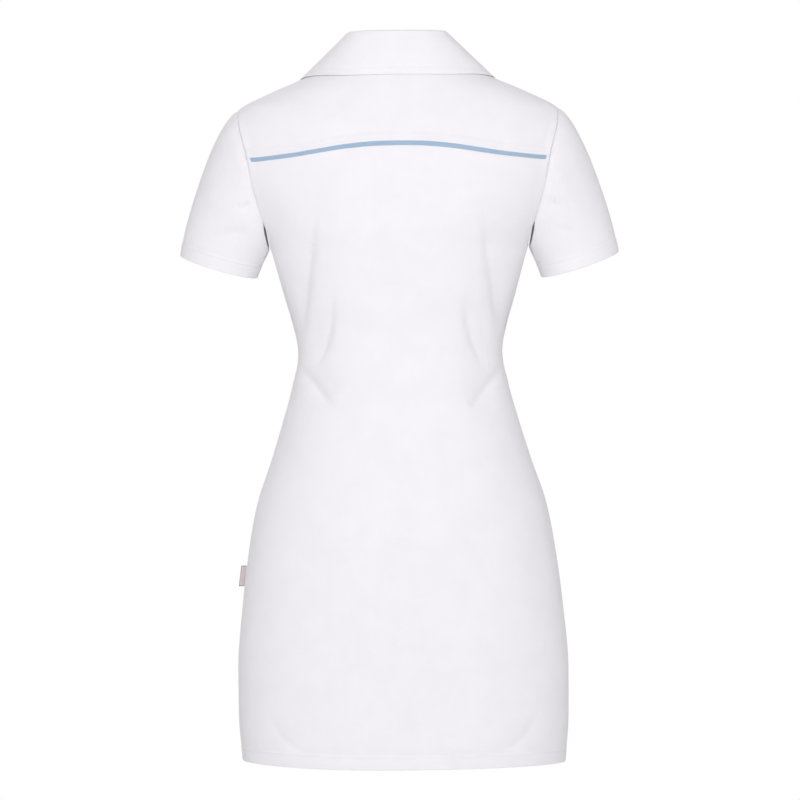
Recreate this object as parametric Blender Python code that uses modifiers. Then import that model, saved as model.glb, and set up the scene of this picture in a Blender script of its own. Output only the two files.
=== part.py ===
"""A women's short-sleeved polo dress of white cotton, filled out as if worn.

Metres, +Z up. The front faces -Y and the wearer's left is +X. The origin lies between
the shoulders, about level with the lower edge of the collar at the back.

The body is a stack of rings. A point on it is given by its height and its turn: 0 degrees
at the centre back, 90 at the wearer's left side and 180 at the centre front.
"""

import math

import bmesh
import bpy
import numpy as np

NAME = "polo_dress"

# Cloth
WALL = 0.0016
TRIM_WALL = 0.0012
SEAM_GAP = 0.0003

# Points closer than this are one point
WELD = 0.00001

# From the wearer's left to the right
MIRROR = np.array([-1, 1, 1])


def table(columns, *rows):
    """A short table as one array for each named column."""
    return dict(zip(columns.split(), np.array(rows, float).T))


# The rings of the body, from the neck down to the hem. Where the armholes cut them, the
# width is that of the whole ring. A squareness of 2 is an ellipse.
BODY = table(
    "height half_width back_depth front_depth squareness",
    (0.018, 0.0720, 0.052, 0.055, 2.0),
    (-0.008, 0.1205, 0.064, 0.066, 2.0),
    (-0.026, 0.1620, 0.072, 0.073, 2.0),
    (-0.048, 0.2030, 0.080, 0.081, 2.0),
    (-0.067, 0.2160, 0.087, 0.088, 2.05),
    (-0.090, 0.2225, 0.093, 0.096, 2.1),
    (-0.112, 0.2240, 0.098, 0.103, 2.1),
    (-0.143, 0.2100, 0.101, 0.112, 2.15),
    (-0.196, 0.1770, 0.101, 0.120, 2.2),
    (-0.222, 0.1640, 0.099, 0.120, 2.2),
    (-0.250, 0.1560, 0.096, 0.118, 2.25),
    (-0.290, 0.1455, 0.091, 0.111, 2.25),
    (-0.320, 0.1372, 0.088, 0.105, 2.25),
    (-0.356, 0.1305, 0.087, 0.100, 2.25),
    (-0.396, 0.1372, 0.094, 0.101, 2.25),
    (-0.442, 0.1495, 0.106, 0.105, 2.3),
    (-0.488, 0.1635, 0.118, 0.110, 2.3),
    (-0.549, 0.1838, 0.127, 0.115, 2.3),
    (-0.600, 0.1935, 0.130, 0.118, 2.35),
    (-0.670, 0.2025, 0.130, 0.121, 2.35),
    (-0.760, 0.2095, 0.128, 0.123, 2.35),
    (-0.823, 0.2090, 0.127, 0.124, 2.35),
    (-0.878, 0.2045, 0.126, 0.124, 2.35),
)
HEM_HEIGHT = BODY["height"][-1]

# The armhole seam: how far it stands from the middle, from the shoulder to the underarm
ARMHOLE = table(
    "height offset",
    (-0.048, 0.2030),
    (-0.067, 0.2015),
    (-0.092, 0.1955),
    (-0.112, 0.1905),
    (-0.143, 0.1850),
    (-0.196, 0.1700),
    (-0.222, 0.1640),
)
ARMHOLE_TOP = ARMHOLE["height"][0]
ARMHOLE_FOOT = ARMHOLE["height"][-1]
ARMHOLE_MIDDLE = (ARMHOLE_TOP + ARMHOLE_FOOT) / 2
ARMHOLE_REACH = (ARMHOLE_TOP - ARMHOLE_FOOT) / 2

# Neckline
NECK_HALF_WIDTH = 0.072
NECK_TOP = 0.018
NECK_BACK_DROP = 0.008
NECK_FRONT_DROP = 0.066
NECK_FRONT_POWER = 1.6
SHOULDER_SEAM_TURN = math.radians(93)
SHOULDER_SEAM_SWING = math.radians(-9)

# Yoke seam and the piping below it
YOKE_END_HEIGHT = -0.1097
YOKE_RISE = 0.0183
YOKE_FLAT = 0.06
PIPING_WIDTH = 0.0053
ROOF_FOOT = -0.125

# The largest folds: soft troughs beside the waist, each from its start through its bend
# to its end. Both halves of a panel have them.
FOLD_COLUMNS = "start_x start_z bend_x bend_z end_x end_z depth half_width"
BACK_FOLDS = table(
    FOLD_COLUMNS,
    (0.098, -0.215, 0.112, -0.275, 0.126, -0.345, 0.0030, 0.012),
    (0.080, -0.295, 0.087, -0.345, 0.107, -0.388, 0.0030, 0.010),
    (0.134, -0.372, 0.110, -0.402, 0.080, -0.432, 0.0055, 0.012),
)
FRONT_FOLDS = table(
    FOLD_COLUMNS,
    (0.100, -0.225, 0.108, -0.280, 0.124, -0.350, 0.0028, 0.013),
    (0.134, -0.374, 0.104, -0.396, 0.066, -0.414, 0.0045, 0.012),
)
# How much of its depth a fold keeps at its two ends
FOLD_END_SHARE = 0.35

# Placket: a slit in the front with a band over it and a band under it
PLACKET_HALF_WIDTH = 0.0155
PLACKET_FOOT = -0.196
PLACKET_LAP = 0.0025
PLACKET_TAIL = 0.012
PLACKET_EDGE_BACK = 0.0015

# Buttons
BUTTON_RADIUS = 0.0056
BUTTON_THICKNESS = 0.0022
BUTTON_BEVEL = 0.0004
BUTTON_HEIGHTS = (-0.062, -0.112, -0.162)
BUTTON_STEPS = 24

# Collar: by turn round the neck, where its fold and the edge of its leaf are
COLLAR_FOLD = table(
    "turn x y z",
    (0, 0.0000, 0.0510, 0.0500),
    (30, 0.0305, 0.0455, 0.0502),
    (60, 0.0545, 0.0285, 0.0500),
    (90, 0.0610, 0.0000, 0.0435),
    (120, 0.0570, -0.0330, 0.0270),
    (150, 0.0350, -0.0580, 0.0000),
    (177, 0.0050, -0.0720, -0.0250),
)
COLLAR_EDGE = table(
    "turn x z lift",
    (0, 0.0000, -0.0065, 0.0075),
    (30, 0.0560, -0.0070, 0.0070),
    (60, 0.1000, -0.0060, 0.0045),
    (90, 0.1215, -0.0085, 0.0026),
    (120, 0.1160, -0.0330, 0.0026),
    (150, 0.0850, -0.0680, 0.0026),
    (177, 0.0420, -0.0980, 0.0030),
)
COLLAR_FOLD_RADIUS = 0.0042
COLLAR_BELLY = 0.0006

# Sleeves: the cuff's outer and inner points as seen from behind, and how the tube leaves
# the armhole and comes to the cuff at its top and at its underarm
CUFF_OUTER = np.array([0.2785, -0.018, -0.2295])
CUFF_INNER = np.array([0.1805, -0.018, -0.2630])
CUFF_DEPTH = 0.044
CUFF_FORWARD = math.radians(8)
LEAVE_TOP = np.array([0.085, 0.0, -0.036])
LEAVE_SIDE = np.array([0.060, 0.012, -0.060])
LEAVE_UNDERARM = np.array([0.010, 0.0, -0.034])
REACH_TOP = np.array([0.020, -0.012, -0.150])
REACH_UNDERARM = np.array([0.012, -0.006, -0.040])
SLEEVE_SEAM_GAP = 0.0006

# Label: a folded ribbon that stands out of the wearer's left side seam
LABEL_TOP = -0.625
LABEL_FOOT = -0.651
LABEL_WIDTH = 0.0068
LABEL_THICKNESS = 0.0012
LABEL_BEVEL = 0.0004
LABEL_BEVEL_STEPS = 2

# How finely each piece is divided. A row close to each seam keeps the wall's edge square.
SEAM_ROW = 0.003
LINE_STEPS = 32
ROOF_HALVINGS = 36
SLOPE_STEP = 0.001
BACK_HALF_COLUMNS = 17
BACK_COLUMNS = 2 * BACK_HALF_COLUMNS + 1
NECK_COLUMNS_BEHIND = 7
NECK_COLUMNS_BEFORE = 7
WAIST_ROWS = 17
SKIRT_ROWS = 9
WAIST_FOOT = -0.480
BACK_ARMHOLE_ROWS = 8
YOKE_ROWS = 9
FRONT_SIDE_COLUMNS = 16
FRONT_ROOF_ROWS = 8
FRONT_ARMHOLE_ROWS = 6
SLEEVE_COLUMNS = 26
SLEEVE_ROWS = 8
STAND_ROWS = 3
FOLD_ROWS = 5
LEAF_ROWS = 4
PLACKET_COLUMNS = 3

# Colours as linear red, green and blue, and roughness
FINISHES = {
    "white_cotton": ((0.89, 0.89, 0.91), 0.85),
    "blue_piping": ((0.40, 0.55, 0.70), 0.80),
    "white_button": ((0.88, 0.88, 0.88), 0.30),
    "woven_label": ((0.50, 0.46, 0.48), 0.75),
}


def smooth(at, knots, values):
    """Read a smooth line through the knots, which doesn't overshoot between them."""
    order = np.argsort(knots)
    knots = knots[order]
    values = values[order]
    step = np.diff(knots)
    slope = np.diff(values) / step
    one_way = slope[:-1] * slope[1:] > 0
    total = np.where(one_way, slope[:-1] + slope[1:], 1.0)
    inner = np.where(one_way, 2 * slope[:-1] * slope[1:] / total, 0.0)
    tangent = np.concatenate([slope[:1], inner, slope[-1:]])
    at = np.clip(at, knots[0], knots[-1])
    i = np.clip(np.searchsorted(knots, at) - 1, 0, len(step) - 1)
    t = (at - knots[i]) / step[i]
    start = values[i] * (1 + 2 * t) * (1 - t) ** 2
    leave = tangent[i] * step[i] * t * (1 - t) ** 2
    end = values[i + 1] * t**2 * (3 - 2 * t)
    arrive = tangent[i + 1] * step[i] * t**2 * (t - 1)
    return start + leave + end + arrive


def ring_size(height):
    """Half width, back depth, front depth and squareness of the body's ring."""
    return [smooth(height, BODY["height"], BODY[key]) for key in list(BODY)[1:]]


def body(height, turn):
    """The outer surface of the body with no folds."""
    width, back, front, squareness = ring_size(height)
    along = np.sin(turn)
    across = np.cos(turn)
    power = 2 / squareness
    x = width * np.sign(along) * np.abs(along) ** power
    y = np.where(across > 0, back, front) * np.sign(across) * np.abs(across) ** power
    return np.stack(np.broadcast_arrays(x, y, height), axis=-1)


def body_normal(height, turn):
    """The direction straight out of the body."""
    down = body(height - SLOPE_STEP, turn) - body(height + SLOPE_STEP, turn)
    along = body(height, turn + SLOPE_STEP) - body(height, turn - SLOPE_STEP)
    normal = np.cross(along, down)
    return normal / np.linalg.norm(normal, axis=-1, keepdims=True)


def turn_at(x, height, behind):
    """The turn at which the ring of this height has this x, behind or in front."""
    width, _, _, squareness = ring_size(height)
    share = np.clip(np.abs(x) / width, 0, 1) ** (squareness / 2)
    turn = np.arcsin(share)
    return np.where(x < 0, -1, 1) * np.where(behind, turn, math.pi - turn)


def roof(x, y):
    """The height of the shoulders and upper body over a place in plan."""
    low = np.full(np.shape(x), ROOF_FOOT)
    high = np.full(np.shape(x), NECK_TOP)
    for _ in range(ROOF_HALVINGS):
        height = (low + high) / 2
        width, back, front, squareness = ring_size(height)
        depth = np.where(y > 0, back, front)
        inside = np.abs(x / width) ** squareness + np.abs(y / depth) ** squareness < 1
        low = np.where(inside, height, low)
        high = np.where(inside, high, height)
    return np.stack([x, y, (low + high) / 2], axis=-1)


def armhole(swing):
    """The armhole seam of the wearer's left: 0 is its top and 180 degrees the underarm."""
    height = ARMHOLE_MIDDLE + ARMHOLE_REACH * np.cos(swing)
    offset = smooth(height, ARMHOLE["height"], ARMHOLE["offset"])
    return body(height, turn_at(offset, height, np.sin(swing) >= 0))


def armhole_swing(height):
    return math.acos((height - ARMHOLE_MIDDLE) / ARMHOLE_REACH)


def neckline(turn):
    """The neck seam, round from the centre back."""
    x = NECK_HALF_WIDTH * np.sin(turn)
    across = np.cos(turn)
    behind = across > 0
    back_drop = NECK_BACK_DROP * across**2
    front_drop = NECK_FRONT_DROP * np.abs(across) ** NECK_FRONT_POWER
    height = NECK_TOP - np.where(behind, back_drop, front_drop)
    return body(height, turn_at(x, height, behind))


def half_turn_at(height):
    """How far a panel reaches round: to the armhole seam, or to the side seam below it."""
    offset = smooth(height, ARMHOLE["height"], ARMHOLE["offset"])
    reach = turn_at(offset, height, True)
    return np.where(height > ARMHOLE_FOOT, reach, math.pi / 2)


def yoke_seam(share):
    """The height of the yoke seam, by share of the way from its middle to its ends."""
    fall = np.clip((np.abs(share) - YOKE_FLAT) / (1 - YOKE_FLAT), 0, 1)
    return YOKE_END_HEIGHT + YOKE_RISE * (1 + np.cos(math.pi * fall)) / 2


def normals(points):
    """Outward normals of a grid whose rows run down and whose columns run round."""
    down, along = np.gradient(points, axis=(0, 1))
    normal = np.cross(along, down)
    return normal / np.linalg.norm(normal, axis=-1, keepdims=True)


def folded(points, folds):
    """The panel's points, pressed in along its folds."""
    x = np.abs(points[..., 0])
    z = points[..., 2]
    depth = np.zeros(x.shape)
    for start_x, start_z, bend_x, bend_z, end_x, end_z, deep, half in zip(*folds.values()):
        nearest = np.full(x.shape, np.inf)
        nearest_t = np.zeros(x.shape)
        for t in np.linspace(0, 1, LINE_STEPS):
            line_x = (1 - t) ** 2 * start_x + 2 * t * (1 - t) * bend_x + t**2 * end_x
            line_z = (1 - t) ** 2 * start_z + 2 * t * (1 - t) * bend_z + t**2 * end_z
            gap = np.hypot(x - line_x, z - line_z)
            nearest_t = np.where(gap < nearest, t, nearest_t)
            nearest = np.minimum(gap, nearest)
        taper = FOLD_END_SHARE + (1 - FOLD_END_SHARE) * np.sin(math.pi * nearest_t)
        depth += deep * taper * np.exp(-((nearest / half) ** 2))
    return points - normals(points) * depth[..., None]


def resampled(line, count):
    """Points along a line of points, at equal steps but for a short one at each end."""
    lengths = np.linalg.norm(np.diff(line, axis=0), axis=1)
    along = np.concatenate([[0], np.cumsum(lengths)])
    total = along[-1]
    between = np.linspace(SEAM_ROW, total - SEAM_ROW, count - 2)
    at = np.concatenate([[0], between, [total]])
    return np.stack([np.interp(at, along, line[:, axis]) for axis in range(3)], axis=-1)


def plan_patch(top, bottom, edge, rows):
    """Rows over the shoulders, from the top line to the bottom line.

    The lines hold one point for each column, from the wearer's right to the left, and the
    edge runs down the left side. Each column is a smooth path in plan, lifted to the roof.
    The columns beside the edge follow its bow.
    """
    shares = np.linspace(-1, 1, len(top))
    edge = resampled(edge, LINE_STEPS)
    t = np.linspace(0, 1, LINE_STEPS)[:, None]
    bow = edge - (edge[0] * (1 - t) + edge[-1] * t)
    columns = []
    for share, first, last in zip(shares, top, bottom):
        side = np.array([np.sign(share), 1, 1])
        path = first * (1 - t) + last * t + bow * side * share**4
        column = roof(path[:, 0], path[:, 1])
        column[0] = first
        column[-1] = last
        columns.append(resampled(column, rows))
    return np.stack(columns, axis=1)


def shoulder_seam(tip, columns):
    """The columns of the shoulder seam, straight in plan, from beside the neck to its tip."""
    start = neckline(SHOULDER_SEAM_TURN)
    t = np.linspace(0, 1, columns + 1)[1:, None]
    line = start * (1 - t) + tip * t
    return roof(line[:, 0], line[:, 1])


def armhole_edge(end_swing):
    """The armhole's seam line from the shoulder seam's tip."""
    return armhole(np.linspace(SHOULDER_SEAM_SWING, end_swing, LINE_STEPS))


def levels_beside_arm(start, rows):
    """Heights beside the armhole, at equal steps round it, from the start to its foot."""
    swings = np.linspace(armhole_swing(start), math.pi, rows)
    return ARMHOLE_MIDDLE + ARMHOLE_REACH * np.cos(swings)


def levels_below_arm():
    """Heights below the armhole, close together round the waist."""
    waist = np.linspace(ARMHOLE_FOOT, WAIST_FOOT, WAIST_ROWS)[1:]
    skirt = np.linspace(WAIST_FOOT, HEM_HEIGHT, SKIRT_ROWS)[1:]
    return np.concatenate([waist, skirt])


def moved_out(points, distance):
    return points + normals(points) * distance


def piping_levels():
    """The heights at its ends of the piping's upper and lower edge."""
    return YOKE_END_HEIGHT - np.array([SEAM_GAP, PIPING_WIDTH])


def back_points():
    """The back, from the yoke seam to the hem."""
    beside_arm = levels_beside_arm(YOKE_END_HEIGHT, BACK_ARMHOLE_ROWS)
    under_piping = piping_levels()[1:]
    levels = [beside_arm[:1], under_piping, beside_arm[1:], levels_below_arm()]
    return back_at(np.concatenate(levels))


def back_at(levels):
    """Rows of the back. The rows near the yoke follow its seam."""
    shares = np.linspace(-1, 1, BACK_COLUMNS)
    fade = np.clip((levels - ARMHOLE_FOOT) / (YOKE_END_HEIGHT - ARMHOLE_FOOT), 0, None)
    rise = yoke_seam(shares) - YOKE_END_HEIGHT
    height = levels[:, None] + rise[None, :] * fade[:, None]
    reach = half_turn_at(levels)[:, None]
    points = body(height, shares[None, :] * reach)
    return folded(points, BACK_FOLDS) + [0, SEAM_GAP / 2, 0]


def yoke_points():
    """The yoke, from the neckline and the shoulder seams down to its own seam."""
    edge = armhole_edge(armhole_swing(YOKE_END_HEIGHT))
    neck = neckline(np.linspace(0, SHOULDER_SEAM_TURN, NECK_COLUMNS_BEHIND + 1))
    seam = shoulder_seam(edge[0], BACK_HALF_COLUMNS - NECK_COLUMNS_BEHIND)
    half = np.concatenate([neck, seam])
    top = np.concatenate([half[:0:-1] * MIRROR, half])
    shares = np.linspace(-1, 1, BACK_COLUMNS)
    reach = half_turn_at(np.array(YOKE_END_HEIGHT))
    bottom = body(yoke_seam(shares), shares * reach)
    points = plan_patch(top, bottom, edge, YOKE_ROWS)
    return points + [0, SEAM_GAP / 2, SEAM_GAP]


def front_neck_turns():
    """The turns of the front's neckline columns, from the shoulder seam to the slit."""
    slit = math.pi - math.asin(PLACKET_HALF_WIDTH / NECK_HALF_WIDTH)
    return np.linspace(SHOULDER_SEAM_TURN, slit, NECK_COLUMNS_BEFORE + 1)


def front_row(height):
    """One row of the front from the wearer's left to right, with the slit's two columns."""
    reach = half_turn_at(np.array(height))
    slit = math.pi - turn_at(PLACKET_HALF_WIDTH, height, False)
    side = slit + (reach - slit) * np.linspace(0, 1, FRONT_SIDE_COLUMNS)
    turns = np.concatenate([math.pi - side[::-1], math.pi + side])
    return body(height, turns)


def front_points():
    """The front, from the neckline and shoulder seams to the hem."""
    edge = armhole_edge(-armhole_swing(ROOF_FOOT))
    neck = neckline(front_neck_turns()[::-1])
    seam = shoulder_seam(edge[0], FRONT_SIDE_COLUMNS - NECK_COLUMNS_BEFORE - 1)
    half = np.concatenate([neck, seam])
    top = np.concatenate([half[::-1] * MIRROR, half])
    bottom = front_row(ROOF_FOOT)[::-1]
    over_chest = plan_patch(top, bottom, edge, FRONT_ROOF_ROWS)[:, ::-1]
    beside_arm = levels_beside_arm(ROOF_FOOT, FRONT_ARMHOLE_ROWS)[1:]
    slit_row = np.argmin(np.abs(beside_arm - PLACKET_FOOT))
    beside_arm[slit_row] = PLACKET_FOOT
    rows = [front_row(level) for level in np.append(beside_arm, levels_below_arm())]
    points = np.concatenate([over_chest, np.stack(rows)])
    return folded(points, FRONT_FOLDS) - [0, SEAM_GAP / 2, 0]


def placket_levels(foot):
    """The front's own rows beside the slit, down to the foot of a band."""
    beside = front_points()[:, FRONT_SIDE_COLUMNS, 2]
    levels = np.append(beside[beside > foot + SEAM_ROW], foot)
    levels[0] -= PLACKET_EDGE_BACK
    return levels


def placket_strip(x_right, x_left, levels, out):
    """A band on the front, moved out from it, from the wearer's left edge to the right."""
    heights = levels[:, None]
    x = np.linspace(x_left, x_right, PLACKET_COLUMNS)[None, :]
    x, heights = np.broadcast_arrays(x, heights)
    points = body(heights, turn_at(x, heights, False))
    return moved_out(points - [0, SEAM_GAP / 2, 0], out)


def collar_points():
    """The collar: up its stand, over its fold and down its leaf, all round the neck."""
    behind = np.linspace(0, SHOULDER_SEAM_TURN, NECK_COLUMNS_BEHIND + 1)
    half = np.degrees(np.concatenate([behind, front_neck_turns()[1:]]))
    half = np.append(half, COLLAR_FOLD["turn"][-1])
    turns = np.concatenate([-half[:0:-1], half])
    columns = [collar_column(turn) for turn in turns]
    return np.stack(columns, axis=1)


def collar_column(turn):
    """One section of the collar, at this turn in degrees."""
    side = np.array([-1 if turn < 0 else 1, 1, 1])
    turn = abs(turn)
    angle = math.radians(turn)
    out = np.array([math.sin(angle), math.cos(angle), 0])
    up = np.array([0, 0, 1])
    fold = np.array([smooth(turn, COLLAR_FOLD["turn"], COLLAR_FOLD[key]) for key in "xyz"])
    edge_keys = ("x", "z", "lift")
    x, z, lift = [smooth(turn, COLLAR_EDGE["turn"], COLLAR_EDGE[key]) for key in edge_keys]
    edge_turn = turn_at(x, z, turn < 90)
    edge = body(z, edge_turn) + body_normal(z, edge_turn) * lift
    foot = neckline(angle) - out * TRIM_WALL + up * SEAM_GAP
    stand_top = fold - up * COLLAR_FOLD_RADIUS
    centre = stand_top + out * COLLAR_FOLD_RADIUS
    leaf = edge - centre
    end_angle = math.atan2(leaf @ out, leaf @ up)
    stand = foot + (stand_top - foot) * np.linspace(0, 1, STAND_ROWS + 1)[:-1, None]
    angles = np.linspace(0, end_angle, FOLD_ROWS)[:, None]
    roll = centre + COLLAR_FOLD_RADIUS * (up * np.sin(angles) - out * np.cos(angles))
    t = np.linspace(0, 1, LEAF_ROWS + 1)[1:, None]
    belly = COLLAR_BELLY * np.sin(math.pi * t) * (out + up)
    fall = roll[-1] + (edge - roll[-1]) * t + belly
    return np.concatenate([stand, roll, fall]) * side


def cuff(swing):
    """The cuff's edge, in step with the armhole."""
    middle = (CUFF_OUTER + CUFF_INNER) / 2
    half = (CUFF_OUTER - CUFF_INNER) / 2
    back = np.array([0, math.cos(CUFF_FORWARD), -math.sin(CUFF_FORWARD)]) * CUFF_DEPTH
    swing = np.asarray(swing)[..., None]
    return middle + half * np.cos(swing) + back * np.sin(swing)


def sleeve_points():
    """The wearer's left sleeve, from the armhole to the cuff."""
    swings = np.linspace(2 * math.pi, 0, SLEEVE_COLUMNS + 1)
    top = np.clip(np.cos(swings), 0, 1)[:, None]
    under = np.clip(-np.cos(swings), 0, 1)[:, None]
    side = 1 - top - under
    away = LEAVE_SIDE * np.stack([swings**0, np.sin(swings), swings**0], axis=-1)
    leave = LEAVE_TOP * top + away * side + LEAVE_UNDERARM * under
    reach = REACH_TOP * (1 - under) + REACH_UNDERARM * under
    direction = leave / np.linalg.norm(leave, axis=-1, keepdims=True)
    start = armhole(swings) + direction * SLEEVE_SEAM_GAP
    end = cuff(swings)
    t = np.linspace(0, 1, SLEEVE_ROWS)[:, None, None]
    blend = start * (1 + 2 * t) * (1 - t) ** 2 + end * t**2 * (3 - 2 * t)
    return blend + leave * t * (1 - t) ** 2 + reach * t**2 * (t - 1)


def material(name):
    made = bpy.data.materials.get(name)
    if made:
        return made
    colour, roughness = FINISHES[name]
    made = bpy.data.materials.new(name)
    made.use_nodes = True
    shader = made.node_tree.nodes["Principled BSDF"]
    shader.inputs["Base Color"].default_value = (*colour, 1)
    shader.inputs["Roughness"].default_value = roughness
    shader.inputs["Metallic"].default_value = 0
    made.diffuse_color = (*colour, 1)
    return made


def add_object(name, mesh, finish, collection):
    made = bpy.data.objects.new(name, mesh)
    mesh.materials.append(material(finish))
    collection.objects.link(made)
    mesh.shade_smooth()
    return made


def cloth(name, points, finish, collection, wall=WALL, closed=False, slit=None):
    """A cloth piece: a grid shaped to the points and thickened on its inner side."""
    rows, columns = points.shape[:2]
    grid = bmesh.new()
    bmesh.ops.create_grid(grid, x_segments=columns - 1, y_segments=rows - 1, size=1.0)
    grid.verts.ensure_lookup_table()
    for vertex, place in zip(grid.verts, points.reshape(-1, 3)):
        vertex.co = place
    if slit:
        inside = [face for face in grid.faces if slit(face.calc_center_median())]
        bmesh.ops.delete(grid, geom=inside, context="FACES")
    if closed:
        bmesh.ops.remove_doubles(grid, verts=grid.verts, dist=WELD)
    mesh = bpy.data.meshes.new(name)
    grid.to_mesh(mesh)
    grid.free()
    made = add_object(name, mesh, finish, collection)
    shell = made.modifiers.new("wall", "SOLIDIFY")
    shell.thickness = wall
    shell.offset = -1
    shell.use_even_offset = True
    shell.use_quality_normals = True
    return made


def in_slit(centre):
    """Whether a face of the front, by its centre, lies in the placket's slit."""
    return abs(centre.x) < PLACKET_HALF_WIDTH / 2 and centre.z > PLACKET_FOOT


def add_label(collection):
    """The folded label, from just outside the side seam outwards."""
    block = bmesh.new()
    bmesh.ops.create_cube(block, size=1.0)
    mesh = bpy.data.meshes.new("label")
    block.to_mesh(mesh)
    block.free()
    middle = (LABEL_TOP + LABEL_FOOT) / 2
    top_x = ring_size(LABEL_TOP)[0]
    foot_x = ring_size(LABEL_FOOT)[0]
    for vertex in mesh.vertices:
        x, y, z = vertex.co
        seam_x = foot_x if z < 0 else top_x
        height = middle + z * (LABEL_TOP - LABEL_FOOT)
        outer_x = seam_x + SEAM_GAP + (x + 0.5) * LABEL_WIDTH
        vertex.co = (outer_x, y * LABEL_THICKNESS, height)
    made = add_object("label", mesh, "woven_label", collection)
    bevel = made.modifiers.new("fold", "BEVEL")
    bevel.width = LABEL_BEVEL
    bevel.segments = LABEL_BEVEL_STEPS
    return made


def add_button(name, height, collection):
    """A turned button that lies on the upper placket band."""
    outline = (
        (0.0, -BUTTON_THICKNESS / 2),
        (BUTTON_RADIUS - BUTTON_BEVEL, -BUTTON_THICKNESS / 2),
        (BUTTON_RADIUS, 0.0),
        (BUTTON_RADIUS - BUTTON_BEVEL, BUTTON_THICKNESS / 2),
        (0.0, BUTTON_THICKNESS / 2),
    )
    profile = bmesh.new()
    corners = [profile.verts.new((radius, 0, level)) for radius, level in outline[::-1]]
    for first, second in zip(corners, corners[1:]):
        profile.edges.new((first, second))
    mesh = bpy.data.meshes.new(name)
    profile.to_mesh(mesh)
    profile.free()
    made = add_object(name, mesh, "white_button", collection)
    turned = made.modifiers.new("turned", "SCREW")
    turned.steps = BUTTON_STEPS
    turned.render_steps = BUTTON_STEPS
    turned.use_merge_vertices = True
    turned.merge_threshold = WELD
    out = SEAM_GAP + TRIM_WALL + SEAM_GAP + BUTTON_THICKNESS / 2
    normal = body_normal(height, math.pi)
    made.location = body(height, math.pi) + normal * out - [0, SEAM_GAP / 2, 0]
    made.rotation_euler = (math.atan2(-normal[1], normal[2]), 0, 0)
    return made


def piping_points():
    """The piping, on the back just below the yoke seam."""
    return moved_out(back_at(piping_levels()), SEAM_GAP + TRIM_WALL)


def clear_scene():
    for old in list(bpy.data.objects):
        bpy.data.objects.remove(old, do_unlink=True)


def main():
    clear_scene()
    parts = bpy.data.collections.new(NAME)
    bpy.context.scene.collection.children.link(parts)
    cloth("back", back_points(), "white_cotton", parts)
    cloth("yoke", yoke_points(), "white_cotton", parts)
    cloth("piping", piping_points(), "blue_piping", parts, wall=TRIM_WALL)
    cloth("front", front_points(), "white_cotton", parts, slit=in_slit)
    sleeve = sleeve_points()
    cloth("sleeve_left", sleeve, "white_cotton", parts, closed=True)
    cloth("sleeve_right", sleeve[:, ::-1] * MIRROR, "white_cotton", parts, closed=True)
    cloth("collar", collar_points(), "white_cotton", parts, wall=TRIM_WALL)
    outer_edge = PLACKET_HALF_WIDTH + PLACKET_LAP
    upper = placket_strip(
        -outer_edge,
        PLACKET_HALF_WIDTH,
        placket_levels(PLACKET_FOOT - PLACKET_TAIL),
        SEAM_GAP + TRIM_WALL,
    )
    cloth("placket_upper", upper, "white_cotton", parts, wall=TRIM_WALL)
    under = placket_strip(
        -PLACKET_HALF_WIDTH,
        outer_edge,
        placket_levels(PLACKET_FOOT - PLACKET_LAP),
        -WALL - SEAM_GAP,
    )
    cloth("placket_under", under, "white_cotton", parts, wall=TRIM_WALL)
    for number, height in enumerate(BUTTON_HEIGHTS, start=1):
        add_button(f"button_{number}", height, parts)
    add_label(parts)


main()
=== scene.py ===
# %% [markdown]
# # A white polo dress, filled out as if worn
# The real dress is a set of flat pieces of cotton knit that a maker cuts and sews together: a
# back, a yoke, a front, two sleeves, a collar and a placket, with a blue piping in the yoke
# seam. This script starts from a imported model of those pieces, which fixes every size and
# place, and builds the cloth, seams, stitches and finishes around it.
# All lengths are metres. The front faces -Y and the wearer's left is +X.

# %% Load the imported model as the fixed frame
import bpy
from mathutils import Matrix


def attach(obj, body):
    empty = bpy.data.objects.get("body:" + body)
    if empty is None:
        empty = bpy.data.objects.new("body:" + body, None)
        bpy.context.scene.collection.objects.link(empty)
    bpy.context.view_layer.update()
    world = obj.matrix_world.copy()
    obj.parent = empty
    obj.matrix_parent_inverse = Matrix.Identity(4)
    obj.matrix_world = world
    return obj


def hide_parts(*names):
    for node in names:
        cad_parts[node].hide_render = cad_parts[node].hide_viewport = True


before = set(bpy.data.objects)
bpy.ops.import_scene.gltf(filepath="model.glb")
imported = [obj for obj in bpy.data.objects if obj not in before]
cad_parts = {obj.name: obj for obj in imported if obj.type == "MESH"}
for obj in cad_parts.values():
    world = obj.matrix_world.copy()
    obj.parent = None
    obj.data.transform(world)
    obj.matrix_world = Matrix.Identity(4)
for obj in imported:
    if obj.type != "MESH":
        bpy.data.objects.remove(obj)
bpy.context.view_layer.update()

# %% [markdown]
# ## Tools
# A garment is easiest to describe as grids of points, so numpy does the arithmetic and
# Blender turns its results into meshes. Sizes that a maker would state in millimetres are
# written as a number times MM.

# %% Tools that the script uses
import math

import bmesh
import bpy
import numpy as np
from mathutils import Matrix, Vector, noise

MM = 0.001

# %% [markdown]
# ## The camera
# The photograph looks at the back of the dress, level with its middle. The sides of the
# dress run nearly parallel, so the camera stands far off with a long lens. A pixel covers
# 1.27 mm of the dress, which gives the lens. The dress leans by half a degree in the
# picture, so the camera is rolled by that much.

# %% Camera
PICTURE_PIXELS = 800
PIXEL = 1.27 * MM
CAMERA_DISTANCE = 7.2
CAMERA_ACROSS = 0.0009
CAMERA_HEIGHT = -0.4166
CAMERA_ROLL = math.radians(-0.55)
SENSOR_WIDTH_MM = 36.0


def add_object(name, data):
    """A new object in the scene, made from its data."""
    made = bpy.data.objects.new(name, data)
    bpy.context.scene.collection.objects.link(made)
    return made


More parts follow.
